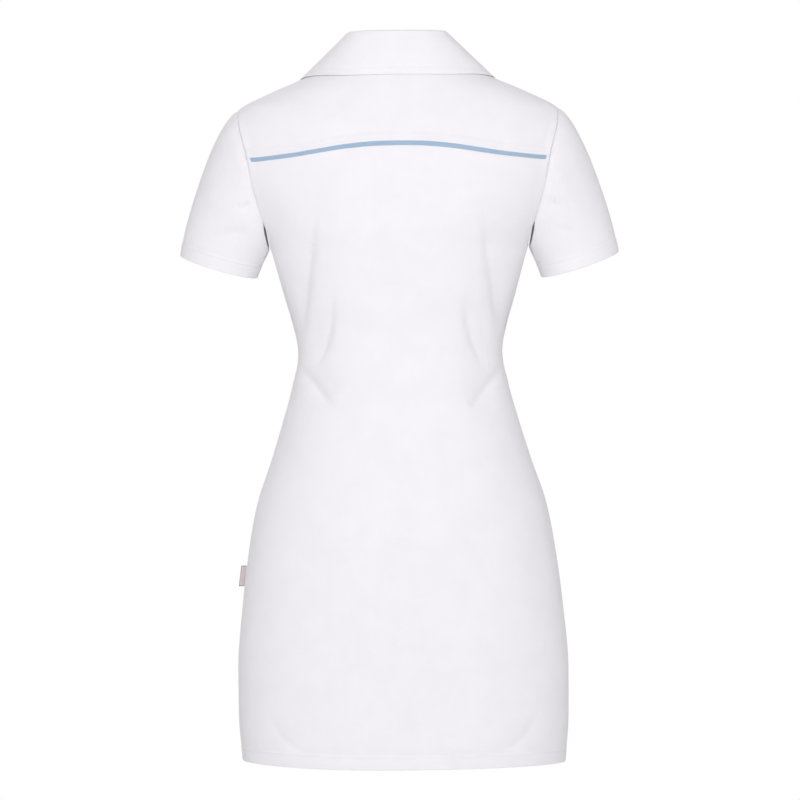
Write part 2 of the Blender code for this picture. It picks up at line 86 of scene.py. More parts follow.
camera_data = bpy.data.cameras.new("camera")
camera_data.sensor_width = SENSOR_WIDTH_MM
camera_data.lens = SENSOR_WIDTH_MM * CAMERA_DISTANCE / (PICTURE_PIXELS * PIXEL)
camera_data.clip_end = 100
camera = add_object("camera", camera_data)
stand_at = Matrix.Translation((CAMERA_ACROSS, CAMERA_DISTANCE, CAMERA_HEIGHT))
turn_to_back = Matrix.Rotation(math.pi, 4, "Z") @ Matrix.Rotation(math.pi / 2, 4, "X")
camera.matrix_world = stand_at @ turn_to_back @ Matrix.Rotation(CAMERA_ROLL, 4, "Z")
bpy.context.scene.camera = camera
print("the lens is", round(camera_data.lens), "mm")

# %% [markdown]
# ## Colours and nodes
# A screen's colours are sRGB, but a renderer adds up light, which is linear. One function
# turns a hex colour into linear numbers. Another adds one shader node with its settings and
# links, so that each material below reads as a short list of steps.

# %% Helpers for materials
def linear(hex_colour):
    """An sRGB hex colour as linear red, green and blue, and full alpha."""
    channels = [int(hex_colour[i : i + 2], 16) / 255 for i in (1, 3, 5)]
    light = [c / 12.92 if c <= 0.04045 else ((c + 0.055) / 1.055) ** 2.4 for c in channels]
    return (*light, 1.0)


def add_node(tree, kind, settings=None, **inputs):
    """Adds a node. An input's value is a number, a colour or another node's output."""
    node = tree.nodes.new("ShaderNode" + kind)
    for name, value in (settings or {}).items():
        setattr(node, name, value)
    for name, value in inputs.items():
        socket = node.inputs[int(name[1:])] if name[1:].isdigit() else node.inputs[name.replace("_", " ")]
        if isinstance(value, bpy.types.NodeSocket):
            tree.links.new(value, socket)
        else:
            socket.default_value = value
    return node


def new_material(name, colour, **sockets):
    """A material with its Principled shader's own sockets set."""
    material = bpy.data.materials.new(name)
    material.use_nodes = True
    material.diffuse_color = linear(colour)
    shader = material.node_tree.nodes["Principled BSDF"]
    shader.inputs["Base Color"].default_value = linear(colour)
    for socket, value in sockets.items():
        shader.inputs[socket.replace("_", " ")].default_value = value
    return material, material.node_tree, shader


# %% [markdown]
# ## Light, background and floor
# A white garment on white is lit by large soft boxes from the camera's side, high up, with
# white walls all round. The walls are the world's light here. They are a little dimmer than
# they look to the camera, so that the dress's sides round away into pale shade while the
# background stays pure white. A weaker box lights the front, which faces away from the
# camera. A picture of a studio could light the scene as well, but four lamps are easier to
# move and to read. The floor lies where the wearer would stand.

# %% Light, background and floor
FLOOR_HEIGHT = -1.40
FLOOR_RADIUS = 6.0
WALL_LIGHT = 0.52
SOFT_BOXES = {
    "high_box": {"at": (0.0, 4.0, 1.5), "width": 2.0, "watts": 79},
    "left_box": {"at": (2.9, 2.2, 0.4), "width": 1.6, "watts": 10},
    "right_box": {"at": (-2.9, 2.2, 0.4), "width": 1.6, "watts": 10},
    "front_box": {"at": (0.9, -4.2, 1.8), "width": 1.6, "watts": 46},
}
LIT_POINT = Vector((0.0, 0.0, -0.35))

bpy.context.scene.view_settings.view_transform = "Standard"
world = bpy.data.worlds.new("white_walls")
bpy.context.scene.world = world
world.use_nodes = True
world.node_tree.nodes.clear()
seen = add_node(world.node_tree, "LightPath").outputs["Is Camera Ray"]
shown_white = add_node(world.node_tree, "Background", Color=(1, 1, 1, 1), Strength=1.0)
lighting = add_node(world.node_tree, "Background", Color=linear("#FDFDFF"), Strength=WALL_LIGHT)
mixed = add_node(
    world.node_tree, "MixShader", _0=seen, _1=lighting.outputs[0], _2=shown_white.outputs[0]
)
add_node(world.node_tree, "OutputWorld", Surface=mixed.outputs[0])

for name, box in SOFT_BOXES.items():
    light = bpy.data.lights.new(name, "AREA")
    light.energy = box["watts"]
    light.size = box["width"]
    holder = add_object(name, light)
    holder.location = box["at"]
    holder.rotation_euler = (LIT_POINT - holder.location).to_track_quat("-Z", "Y").to_euler()

disc = bmesh.new()
bmesh.ops.create_circle(disc, cap_ends=True, segments=128, radius=FLOOR_RADIUS)
floor_mesh = bpy.data.meshes.new("floor")
disc.to_mesh(floor_mesh)
disc.free()
floor = add_object("floor", floor_mesh)
floor.location.z = FLOOR_HEIGHT
floor_paint, _, _ = new_material("matt_floor_paint", "#F4F4F4", Roughness=0.9)
floor_mesh.materials.append(floor_paint)

# %% [markdown]
# ## Cotton pique
# Polo cotton is a pique knit: its loops make small raised cells in staggered rows, about
# 0.9 mm apart. To the eye that is a matt, slightly grainy white with hardly any gloss.
# The loops could be modelled, but that takes millions of faces, and none would show at this
# distance. So a bump in the material draws the cells from each piece's own grain, in metres
# along and across the cloth. They bend with the panel and are cut off at its seams. They are
# drawn 1.9 mm apart, because at a pixel of 1.27 mm the real ones would vanish.
# The product of two cosines gives a bump at each corner and each middle of a square grid,
# which is the staggered order. The valleys between the bumps are darkened in colour as
# painted shade. A slow noise stands for uneven yarn, whose patches are a little greyer.

# %% Cotton pique
GRAIN = "grain"
PIQUE_CELL = 1.9 * MM
PIQUE_RELIEF = 0.10 * MM
YARN_PATCH = 35 * MM


def grain_of(tree):
    """The place on the flat cloth, in metres, as separate across and along."""
    place = add_node(tree, "UVMap", {"uv_map": GRAIN})
    return add_node(tree, "SeparateXYZ", Vector=place.outputs[0]).outputs


def wave(tree, distance, period):
    """A cosine with this period in metres."""
    turns = add_node(tree, "Math", {"operation": "MULTIPLY"}, _0=distance, _1=math.tau / period)
    return add_node(tree, "Math", {"operation": "COSINE"}, _0=turns.outputs[0]).outputs[0]


def knitted(name, bright, painted_shade_and_dull, cell=PIQUE_CELL, relief=PIQUE_RELIEF, sheen=0.08):
    """A staggered knit whose valleys are darkened as painted shade, and whose slow patches of uneven yarn
    are a little greyer.
    """
    material, tree, shader = new_material(
        name, bright, Roughness=0.88, IOR=1.46, Sheen_Weight=sheen, Sheen_Roughness=0.6
    )
    across, along, _ = grain_of(tree)
    waves = [wave(tree, distance, cell) for distance in (across, along)]
    cells = add_node(tree, "Math", {"operation": "MULTIPLY"}, _0=waves[0], _1=waves[1]).outputs[0]
    place = add_node(tree, "TexCoord").outputs["Object"]
    yarn = add_node(
        tree, "TexNoise", Vector=place, Scale=1 / YARN_PATCH, Detail=3.0, Roughness=0.6
    )
    # Painted shade: the valleys between the cells get the darker colour.
    painted_valley_shade = add_node(tree, "MapRange", Value=cells, From_Min=-1, From_Max=1, To_Min=0.35, To_Max=0)
    patch_share = add_node(
        tree, "MapRange", Value=yarn.outputs["Fac"], From_Min=0.35, From_Max=0.65, To_Min=0, To_Max=0.3
    )
    share = add_node(
        tree, "Math", {"operation": "ADD"}, _0=painted_valley_shade.outputs[0], _1=patch_share.outputs[0]
    )
    tone = add_node(
        tree, "Mix", {"data_type": "RGBA"}, Factor=share.outputs[0], _6=linear(bright), _7=linear(painted_shade_and_dull)
    )
    tree.links.new(tone.outputs[2], shader.inputs["Base Color"])
    bump = add_node(tree, "Bump", Height=cells, Distance=relief, Strength=1.0)
    tree.links.new(bump.outputs[0], shader.inputs["Normal"])
    return material


# The second colour is painted shade in the knit's valleys, mixed with the greyer tone of uneven yarn.
white_pique = knitted("white_cotton_pique", "#F4F2F5", "#EDEAEE")
print("a pique cell is", round(PIQUE_CELL / MM, 1), "mm")

# %% [markdown]
# ## The cut of the body
# The body of the dress is a stack of rings, from the neck down to the hem. Each ring has a
# half width, a depth behind and in front, and a squareness: 2 is an ellipse, and a higher
# number has fuller corners. The body could be sculpted by hand, but a width or a depth in a
# table can be read and changed. The same short table shaped the solids, so the cloth lies
# where they are.

# %% The rings of the body
def table(columns, *rows):
    """A short table as one array for each named column."""
    return dict(zip(columns.split(), np.array(rows, float).T))


BODY = table(
    "height half_width back_depth front_depth squareness",
    (0.018, 0.0720, 0.052, 0.055, 2.0),
    (-0.008, 0.1205, 0.064, 0.066, 2.0),
    (-0.026, 0.1620, 0.072, 0.073, 2.0),
    (-0.048, 0.2030, 0.080, 0.081, 2.0),
    (-0.067, 0.2160, 0.087, 0.088, 2.05),
    (-0.090, 0.2225, 0.093, 0.096, 2.1),
    (-0.112, 0.2240, 0.098, 0.103, 2.1),
    (-0.143, 0.2100, 0.101, 0.112, 2.15),
    (-0.196, 0.1770, 0.101, 0.120, 2.2),
    (-0.222, 0.1640, 0.099, 0.120, 2.2),
    (-0.250, 0.1560, 0.096, 0.118, 2.25),
    (-0.290, 0.1455, 0.091, 0.111, 2.25),
    (-0.320, 0.1372, 0.088, 0.105, 2.25),
    (-0.356, 0.1305, 0.087, 0.100, 2.25),
    (-0.396, 0.1372, 0.094, 0.101, 2.25),
    (-0.442, 0.1495, 0.106, 0.105, 2.3),
    (-0.488, 0.1635, 0.118, 0.110, 2.3),
    (-0.549, 0.1838, 0.127, 0.115, 2.3),
    (-0.600, 0.1935, 0.130, 0.118, 2.35),
    (-0.670, 0.2025, 0.130, 0.121, 2.35),
    (-0.760, 0.2095, 0.128, 0.123, 2.35),
    (-0.823, 0.2090, 0.127, 0.124, 2.35),
    (-0.878, 0.2045, 0.126, 0.124, 2.35),
)
HEM_HEIGHT = BODY["height"][-1]
print("the body has", len(BODY["height"]), "rings")

# %% [markdown]
# ## Reading the rings
# A smooth line through the table's rows, which never overshoots, gives the ring at any
# height. The body's surface is then a function of the height and of the turn round it,
# counted from the centre back. Another function finds the turn at which a ring has a given x.

# %% The body's surface
def smooth(at, knots, values):
    """Read a smooth line through the knots, which doesn't overshoot between them."""
    order = np.argsort(knots)
    knots = knots[order]
    values = values[order]
    step = np.diff(knots)
    slope = np.diff(values) / step
    one_way = slope[:-1] * slope[1:] > 0
    total = np.where(one_way, slope[:-1] + slope[1:], 1.0)
    inner = np.where(one_way, 2 * slope[:-1] * slope[1:] / total, 0.0)
    tangent = np.concatenate([slope[:1], inner, slope[-1:]])
    at = np.clip(at, knots[0], knots[-1])
    i = np.clip(np.searchsorted(knots, at) - 1, 0, len(step) - 1)
    t = (at - knots[i]) / step[i]
    start = values[i] * (1 + 2 * t) * (1 - t) ** 2
    leave = tangent[i] * step[i] * t * (1 - t) ** 2
    end = values[i + 1] * t**2 * (3 - 2 * t)
    arrive = tangent[i + 1] * step[i] * t**2 * (t - 1)
    return start + leave + end + arrive


def ring_size(height):
    """Half width, back depth, front depth and squareness of the body's ring."""
    return [smooth(height, BODY["height"], BODY[key]) for key in list(BODY)[1:]]


def body(height, turn):
    """The outer surface of the body with no folds, by height and turn from the centre back."""
    width, back, front, squareness = ring_size(height)
    along = np.sin(turn)
    across = np.cos(turn)
    power = 2 / squareness
    x = width * np.sign(along) * np.abs(along) ** power
    y = np.where(across > 0, back, front) * np.sign(across) * np.abs(across) ** power
    return np.stack(np.broadcast_arrays(x, y, height), axis=-1)


def turn_at(x, height, behind):
    """The turn at which the ring of this height has this x, behind or in front."""
    width, _, _, squareness = ring_size(height)
    share = np.clip(np.abs(x) / width, 0, 1) ** (squareness / 2)
    turn = np.arcsin(share)
    return np.where(x < 0, -1, 1) * np.where(behind, turn, math.pi - turn)


print("the hem ring is", round(2 * ring_size(HEM_HEIGHT)[0], 3), "m wide")

# %% [markdown]
# ## Armholes, neckline and yoke seam
# Three seam lines divide the body into its pieces. The armhole is a slanted loop on each
# side, followed by its swing: none at the shoulder, half a turn at the underarm. The
# neckline is a loop round the neck that drops deeper in front. The yoke seam rises in an
# arch over the shoulder blades. Pieces could be cut out of the body with Booleans, but that
# leaves ragged edges. Here each piece is laid out so that its own edge is the seam.

# %% Seam lines of the body
ARMHOLE = table(
    "height offset",
    (-0.048, 0.2030),
    (-0.067, 0.2015),
    (-0.092, 0.1955),
    (-0.112, 0.1905),
    (-0.143, 0.1850),
    (-0.196, 0.1700),
    (-0.222, 0.1640),
)
ARMHOLE_FOOT = ARMHOLE["height"][-1]
ARMHOLE_MIDDLE = (ARMHOLE["height"][0] + ARMHOLE_FOOT) / 2
ARMHOLE_REACH = (ARMHOLE["height"][0] - ARMHOLE_FOOT) / 2
NECK_HALF_WIDTH = 0.072
NECK_TOP = 0.018
NECK_BACK_DROP = 0.008
NECK_FRONT_DROP = 0.066
NECK_FRONT_POWER = 1.6
SHOULDER_SEAM_TURN = math.radians(93)
SHOULDER_SEAM_SWING = math.radians(-9)
YOKE_END_HEIGHT = -0.1097
YOKE_DROP = table(
    "share drop",
    (0.00, 0.0000),
    (0.10, 0.0003),
    (0.27, 0.0034),
    (0.45, 0.0090),
    (0.60, 0.0134),
    (0.73, 0.0159),
    (0.88, 0.0180),
    (1.00, 0.0188),
)
ROOF_FOOT = -0.1105
SEAM_GAP = 0.3 * MM
print("an armhole is", round(ARMHOLE["height"][0] - ARMHOLE_FOOT, 3), "m high")

# %% [markdown]
# ## Reading the seam lines
# Each line is a function that gives places on the body's surface. The last one lifts a place
# in plan to the shoulders, where the body is too flat to be read by its height.

# %% Reading the seam lines
ROOF_HALVINGS = 30


def armhole(swing):
    """The armhole seam of the wearer's left."""
    height = ARMHOLE_MIDDLE + ARMHOLE_REACH * np.cos(swing)
    offset = smooth(height, ARMHOLE["height"], ARMHOLE["offset"])
    return body(height, turn_at(offset, height, np.sin(swing) >= 0))


def armhole_swing(height):
    """The swing at which the armhole seam has this height."""
    return math.acos((height - ARMHOLE_MIDDLE) / ARMHOLE_REACH)


def neckline(turn):
    """The neck seam, round from the centre back."""
    x = NECK_HALF_WIDTH * np.sin(turn)
    across = np.cos(turn)
    back_drop = NECK_BACK_DROP * across**2
    front_drop = NECK_FRONT_DROP * np.abs(across) ** NECK_FRONT_POWER
    height = NECK_TOP - np.where(across > 0, back_drop, front_drop)
    return body(height, turn_at(x, height, across > 0))


def half_turn_at(height):
    """How far a panel reaches round: to the armhole seam, or to the side seam below it."""
    offset = smooth(height, ARMHOLE["height"], ARMHOLE["offset"])
    return np.where(height > ARMHOLE_FOOT, turn_at(offset, height, True), math.pi / 2)


def yoke_seam(share):
    """The height of the yoke seam, by share of the way from its middle to its ends."""
    drop = smooth(np.abs(share), YOKE_DROP["share"], YOKE_DROP["drop"])
    return YOKE_END_HEIGHT + YOKE_DROP["drop"][-1] - drop


def roof(x, y):
    """The shoulders and upper body over a place in plan, found by halving the height."""
    low = np.full(np.shape(x), ROOF_FOOT)
    high = np.full(np.shape(x), NECK_TOP)
    for _ in range(ROOF_HALVINGS):
        height = (low + high) / 2
        width, back, front, squareness = ring_size(height)
        depth = np.where(y > 0, back, front)
        inside = np.abs(x / width) ** squareness + np.abs(y / depth) ** squareness < 1
        low = np.where(inside, height, low)
        high = np.where(inside, high, height)
    return np.stack([x, y, (low + high) / 2], axis=-1)


round_armhole = armhole(np.linspace(0, math.tau, 200))
armhole_length = np.linalg.norm(np.diff(round_armhole, axis=0), axis=1).sum()
print("an armhole measures", round(armhole_length, 3), "m round")

# %% [markdown]
# ## A piece of cloth as a grid
# Every piece is a grid of points: its rows run down the cloth and its columns run round the
# body. That makes the rest simple. The direction out of the cloth comes from the two
# directions along it. The distance along the rows and columns gives the grain for the
# knit, and says how far a point is from an edge, which is where seams, hems and stitches
# belong. A mesh with no order could hold the same shape, but none of this could be read
# from it. The cloth itself is the grid with a thickness on its inner side.

# %% Grids and distances
TINY = 1e-12


def unit(vectors):
    """The directions of the vectors, each of length 1."""
    return vectors / np.maximum(np.linalg.norm(vectors, axis=-1, keepdims=True), TINY)


def normals(points, closed=False):
    """Outward directions of a grid whose rows run down and whose columns run round."""
    if closed:
        points = np.concatenate([points[:, -2:-1], points, points[:, 1:2]], axis=1)
    down, along = np.gradient(points, axis=(0, 1))
    normal = unit(np.cross(along, down))
    return normal[:, 1:-1] if closed else normal


def moved_out(points, distance, closed=False):
    """The points, moved out from the cloth by a distance or by one for each point."""
    distance = np.broadcast_to(distance, points.shape[:2])
    return points + normals(points, closed) * distance[..., None]


def lengths_down(points):
    """How far down its column each point is, in metres."""
    steps = np.linalg.norm(np.diff(points, axis=0), axis=-1)
    return np.concatenate([np.zeros((1, points.shape[1])), np.cumsum(steps, axis=0)])


def lengths_along(line):
    """How far along a line of points each of them is, in metres."""
    return lengths_down(line[:, None])[:, 0]


def lengths_across(points):
    """How far along its row each point is, in metres."""
    return lengths_down(points.transpose(1, 0, 2)).T


def from_foot(points):
    """How far each point is above the last row, in metres."""
    return lengths_down(points[::-1])[::-1]


def straight_down(points):
    """How far down the cloth each point is, leaving out how far its column drifts sideways."""
    sideways = unit(np.gradient(points, axis=1)[1:])
    steps = np.diff(points, axis=0)
    steps -= sideways * (steps * sideways).sum(axis=-1, keepdims=True)
    down = np.cumsum(np.linalg.norm(steps, axis=-1)[::-1], axis=0)[::-1]
    return -np.concatenate([down, np.zeros((1, points.shape[1]))])


# %% [markdown]
# ## Spacing and soft steps
# Columns stand closer together beside a seam, where the cloth rolls in. Two soft curves, a
# hill and a step, shape every relief. A line of stitches is read off a grid at its distance
# from the edge.

# %% Spacing, soft steps and lines
BESIDE_SEAM = np.array([0.0, 0.003, 0.0065, 0.011, 0.018])
EVEN_FROM = 0.03


def seam_shares(count):
    """Shares from -1 to 1 with closer ones beside each end, where the cloth rolls in."""
    inner = np.linspace(-1 + EVEN_FROM, 1 - EVEN_FROM, count)
    return np.concatenate([-1 + BESIDE_SEAM, inner, 1 - BESIDE_SEAM[::-1]])


def bump(distance, half_width):
    """A soft hill that is 1 in its middle."""
    return np.exp(-((distance / half_width) ** 2))


def step_to(distance, edge, softness):
    """1 up to the edge and 0 past it, with a soft step between."""
    return 0.5 - 0.5 * np.tanh((distance - edge) / softness)


def read_along(at, along, values):
    """Points or directions of a line, at these distances along it."""
    return np.stack([np.interp(at, along, values[:, axis]) for axis in range(3)], axis=-1)


def line_above(points, out, distance):
    """The line this far above a grid's last row, and the directions out of the cloth there."""
    above = from_foot(points)[::-1]
    columns = range(points.shape[1])
    both = (points[::-1], out[::-1])
    return [np.array([read_along(distance, above[:, c], grid[:, c]) for c in columns]) for grid in both]


def row_at(points, distance, closed=False):
    """A line along a grid's rows, this far above the last one, and its directions."""
    return line_above(points, normals(points, closed), distance)


# %% [markdown]
# ## Creases
# Filled-out cotton still pulls and sags: from the underarm down to the waist, and across
# it where the side is longest. A cloth simulation could fold it, but a dress with nobody
# inside would collapse, and no fold would stay where it belongs. So each crease is placed
# on its piece as seen from behind or from the front: a start, a bend, an end, a depth, a
# half width, and a lip. The lip is the soft ridge that cloth pushes up beside a trough, on
# the left of its way where it is above 0 and on the right where it is below.
# Slack, read the same way, makes the trough wider on one side, where the cloth sags. A side
# of 1 is the wearer's left, and -1 the right, where all is mirrored. No two creases are
# alike. Across, each is narrow in its middle and soft at its sides, as folded knit is. All
# but the side, the lip and the slack are in millimetres.

# %% Creases
CREASE_COLUMNS = "side start_x start_z bend_x bend_z end_x end_z depth half_width lip slack"
LINE_STEPS = 32
END_SHARE = 0.15
CREASE_SOFTNESS = 0.3
LIP_PLACE = 2.2


def crease_table(*rows):
    """A table of creases, one a row, with its lengths in metres."""
    creases = table(CREASE_COLUMNS, *rows)
    for column in list(creases)[1:-2]:
        creases[column] = creases[column] * MM
    return creases


def trough(beside, half_width, slack):
    """The section of a crease: 1 in its middle, narrow there, and wider on its slack side."""
    half = np.where(beside * slack > 0, half_width * (1 + abs(slack)), half_width)
    return np.exp(CREASE_SOFTNESS - np.hypot(beside / half, CREASE_SOFTNESS))


def pressed_in(points, creases, closed=False):
    """Presses the creases of a table into a grid of points."""
    depth = np.zeros(points.shape[:2])
    for side, *line, deep, half, lip, slack in zip(*creases.values()):
        start_x, start_z, bend_x, bend_z, end_x, end_z = line
        x = points[..., 0] * side
        z = points[..., 2]
        nearest = np.full(x.shape, np.inf)
        nearest_t = np.zeros(x.shape)
        beside = np.zeros(x.shape)
        for t in np.linspace(0, 1, LINE_STEPS):
            line_x = (1 - t) ** 2 * start_x + 2 * t * (1 - t) * bend_x + t**2 * end_x
            line_z = (1 - t) ** 2 * start_z + 2 * t * (1 - t) * bend_z + t**2 * end_z
            along_x = (1 - t) * (bend_x - start_x) + t * (end_x - bend_x)
            along_z = (1 - t) * (bend_z - start_z) + t * (end_z - bend_z)
            gap = np.hypot(x - line_x, z - line_z)
            cross = along_x * (z - line_z) - along_z * (x - line_x)
            closer = gap < nearest
            nearest_t = np.where(closer, t, nearest_t)
            beside = np.where(closer, np.sign(cross), beside)
            nearest = np.minimum(gap, nearest)
        taper = END_SHARE + (1 - END_SHARE) * np.sin(math.pi * nearest_t)
        beside *= nearest
        ridge = abs(lip) * bump(beside * np.sign(lip) - LIP_PLACE * half, half)
        depth += deep * taper * (trough(beside, half, slack) - ridge * np.sin(math.pi * nearest_t))
    return moved_out(points, -depth, closed)


# %% [markdown]
# ## Uneven cloth
# No cloth is quite even between its creases. A slow noise moves it in and out by about half
# a millimetre. A seam holds it still, so the noise fades out there.

# %% Uneven cloth
NOISE_STEPS = (7.3, 3.1, 5.7)
SEAM_CALM = 10 * MM


def softened(points, seed, height, size, closed=False, seam=np.inf):
    """Adds the slow unevenness of real cloth, the same on every run, and none at a seam."""
    shift = Vector([seed * step for step in NOISE_STEPS])
    uneven = [noise.noise(Vector(p) / size + shift) for p in points.reshape(-1, 3)]
    free = 1 - bump(seam, SEAM_CALM)
    return moved_out(points, np.array(uneven).reshape(points.shape[:2]) * height * free, closed)


# %% [markdown]
# ## Hems
# A knit hem is the cloth itself, folded up inside and held by two rows of stitches. The
# grid does the same: its last rows go round a small half circle and back up inside. A
# thicker edge would be simpler, but it would look cut, where a fold looks round.

# %% Hems
FOLD_RADIUS = 0.9 * MM
FOLD_STEPS = 7


def turned_up(points, rows_inside, radius=FOLD_RADIUS, closed=False):
    """The grid with its lower edge folded to the inside."""
    out = normals(points, closed)
    down = unit(points[-1] - points[-2])
    rows = []
    for angle in np.linspace(0, math.pi, FOLD_STEPS)[1:]:
        rows.append(points[-1] + radius * (down * math.sin(angle) - out[-1] * (1 - math.cos(angle))))
    for row in range(2, rows_inside + 2):
        rows.append(points[-row] - out[-row] * 2 * radius)
    return np.concatenate([points, np.stack(rows)])


# %% [markdown]
# ## From grid to object
# One function turns a grid into a mesh, keeps its grain as a UV map in metres and adds the
# cloth's thickness. The Solidify modifier does that, so that only the outer side has to be
# shaped. Another function fixes the piece to the dress and hides the solid that it replaces.
# The real knit is about 0.8 mm thick.

# %% From grid to object
CLOTH = 0.8 * MM


def stands_for(piece, node):
    """Fixes a piece to the dress and hides the solid whose place it takes."""
    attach(piece, "root")
    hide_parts(node)


def add_cloth(name, node, points, material, wall=CLOTH, closed=False, keep=None):
    """A cloth object made from a grid of points, which keep can thin out to some faces."""
    rows, columns = points.shape[:2]
    across = lengths_across(points)
    across -= across[:, columns // 2][:, None]
    grain = np.stack([across, straight_down(points)], axis=-1).reshape(-1, 2)
    index = np.arange(rows * columns).reshape(rows, columns)
    corners = [index[:-1, :-1], index[:-1, 1:], index[1:, 1:], index[1:, :-1]]
    faces = np.stack(corners, axis=-1)
    if keep is not None:
        faces = faces[keep(points)]
    faces = faces.reshape(-1, 4)
    weld = index.copy()
    if closed:
        weld[:, -1] = weld[:, 0]
    used, flat_faces = np.unique(weld.reshape(-1)[faces], return_inverse=True)
    mesh = bpy.data.meshes.new(name)
    mesh.from_pydata(points.reshape(-1, 3)[used].tolist(), [], flat_faces.reshape(-1, 4).tolist())
    mesh.uv_layers.new(name=GRAIN).data.foreach_set("uv", grain[faces.reshape(-1)].reshape(-1))
    mesh.shade_smooth()
    mesh.materials.append(material)
    piece = add_object(name, mesh)
    shell = piece.modifiers.new("thickness", "SOLIDIFY")
    shell.thickness = wall
    shell.offset = -1
    shell.use_quality_normals = True
    stands_for(piece, node)
    print(name, "has", len(mesh.polygons), "faces on its outer side")
    return piece


# %% [markdown]
# ## Sewing thread
# Each stitch is a short twist of smooth polyester thread, with a faint gloss, that dips into
# the cloth at both ends. Real ones are 2.5 mm long and 0.25 mm thick. They are made 0.45 mm
# thick here, so that a row can be seen at all. A line in the material could stand for them,
# but it would be flat from the side, so a row is one mesh of small spindles along a line on
# the cloth. The twist is a wave counted across each row's own box. At a scale of 600 its
# turns are at most about 0.6 mm long, which is too fine to show.

# %% Sewing thread
TWIST_SCALE = 600.0
STITCH_PITCH = 3.0 * MM
STITCH_LENGTH = 2.4 * MM
THREAD_RADIUS = 0.22 * MM
THREAD_RELIEF = 0.05 * MM

white_thread, thread_tree, thread_shader = new_material(
    "polyester_sewing_thread", "#F4F3F6", Roughness=0.55, IOR=1.55, Sheen_Weight=0.1
)
diagonal = {"bands_direction": "DIAGONAL"}
twist = add_node(thread_tree, "TexWave", diagonal, Scale=TWIST_SCALE, Distortion=0.5)
twist_bump = add_node(thread_tree, "Bump", Height=twist.outputs["Fac"], Distance=THREAD_RELIEF)
thread_tree.links.new(twist_bump.outputs[0], thread_shader.inputs["Normal"])
print("a stitch is", round(STITCH_LENGTH / MM, 1), "mm long")

# %% [markdown]
# ## A stitch and a row
# A spindle is a few rings of points, thin at both ends. It is raised a little from the
# cloth, so that it lies in it by about a third of its thickness.

# %% A stitch and a row
SPINDLE = ((-1.0, 0.15), (-0.7, 0.8), (0.0, 1.0), (0.7, 0.8), (1.0, 0.15))
THREAD_SIDES = 6
THREAD_LIFT = 0.4


def spindle(start, end, out, radius):
    """The points and faces of one stitch between two places on the cloth."""
    middle = (start + end) / 2
    along = (end - start) / 2
    side = unit(np.cross(out, along))
    points = []
    for place, share in SPINDLE:
        for step in range(THREAD_SIDES):
            angle = math.tau * step / THREAD_SIDES
            offset = side * math.cos(angle) + out * math.sin(angle)
            points.append(middle + along * place + offset * radius * share)
    faces = []
    for ring in range(len(SPINDLE) - 1):
        for step in range(THREAD_SIDES):
            first = ring * THREAD_SIDES + step
            second = ring * THREAD_SIDES + (step + 1) % THREAD_SIDES
            faces.append((first, first + THREAD_SIDES, second + THREAD_SIDES, second))
    last = (len(SPINDLE) - 1) * THREAD_SIDES
    faces.append(tuple(range(THREAD_SIDES)))
    faces.append(tuple(last + step for step in reversed(range(THREAD_SIDES))))
    return points, faces


def add_thread(name, stitches, carrier, radius=THREAD_RADIUS):
    """One mesh of stitches, given by their starts, ends and directions out of the cloth."""
    points = []
    faces = []
    for start, end, out in stitches:
        lift = out * radius * THREAD_LIFT
        more_points, more_faces = spindle(start + lift, end + lift, out, radius)
        faces += [[corner + len(points) for corner in face] for face in more_faces]
        points += more_points
    mesh = bpy.data.meshes.new(name)
    mesh.from_pydata(points, [], faces)
    mesh.shade_smooth()
    mesh.materials.append(white_thread)
    piece = add_object(name, mesh)
    piece.parent = carrier
    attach(piece, "root")
    print(name, "has", len(stitches), "stitches")
    return piece


def add_stitches(name, lines, carrier):
    """Rows of stitches along lines of points, each with the directions out of the cloth."""
    stitches = []
    for line, out in lines:
        along = lengths_along(line)
        for start in np.arange(STITCH_PITCH / 2, along[-1] - STITCH_LENGTH, STITCH_PITCH):
            first, last = [read_along(at, along, line) for at in (start, start + STITCH_LENGTH)]
            direction = read_along(start + STITCH_LENGTH / 2, along, out)
            stitches.append((first, last, unit(direction)))
    return add_thread(name, stitches, carrier)


# %% [markdown]
# ## The back
# The back is cut in one, from the yoke seam to the hem. Beside the armhole its edge
# follows that seam, and below it the side seam. Cloth that is sewn to its neighbour turns
# inwards at the seam, so the last two millimetres of each edge roll in. The tools for this
# serve the yoke and the front too.

# %% Panel tools
EDGE_ROLL = 0.9 * MM
TIGHT_ROLL = 0.15 * MM
TIGHT_ABOVE = -0.198
LOOSE_STEP = 10 * MM
EDGE_ROLL_WIDTH = 1.6 * MM
ROW_STEP = 3.4 * MM
BODY_COLUMNS = 132


def from_sides(points):
    """How far each point is from the nearer end of its row."""
    across = lengths_across(points)
    return np.minimum(across, across[:, -1:] - across)


def edge_roll(loose, from_edge):
    """How far cloth rolls in at its edge: fully where it is loose, less at a pressed seam."""
    return (TIGHT_ROLL + (EDGE_ROLL - TIGHT_ROLL) * loose) * bump(from_edge, EDGE_ROLL_WIDTH)


def rolled_sides(points):
    """Rolls the two side edges of a panel inwards, less where the armhole seam is pressed."""
    loose = step_to(points[..., 2], TIGHT_ABOVE, LOOSE_STEP)
    return moved_out(points, -edge_roll(loose, from_sides(points)))


def stepped(start, end, step):
    """Even steps from the start to the end, about this long."""
    count = max(2, round(abs(end - start) / step) + 1)
    return np.linspace(start, end, count)


# %% [markdown]
# ## Rows of a panel
# The rows of the back and the front stand about 3 mm apart, and closer where the hem is
# sewn. Beside the armhole the seam allowance underneath lifts the cloth in a band 10 mm wide.

# %% Heights of the rows
HEM_FINE = 0.034
HEM_FINE_STEP = 1.3 * MM
ARMHOLE_BAND = 10.0 * MM
ARMHOLE_STAND = 2.4 * MM
LOWER_STAND = 0.7 * MM
BAND_FOOT = -0.128
BAND_STEP = 6 * MM
LOWER_STEP = 3 * MM
BAND_TUCK = 0.6
BAND_TUCK_WIDTH = 1.2 * MM
CLOSER_POWER = 1.5


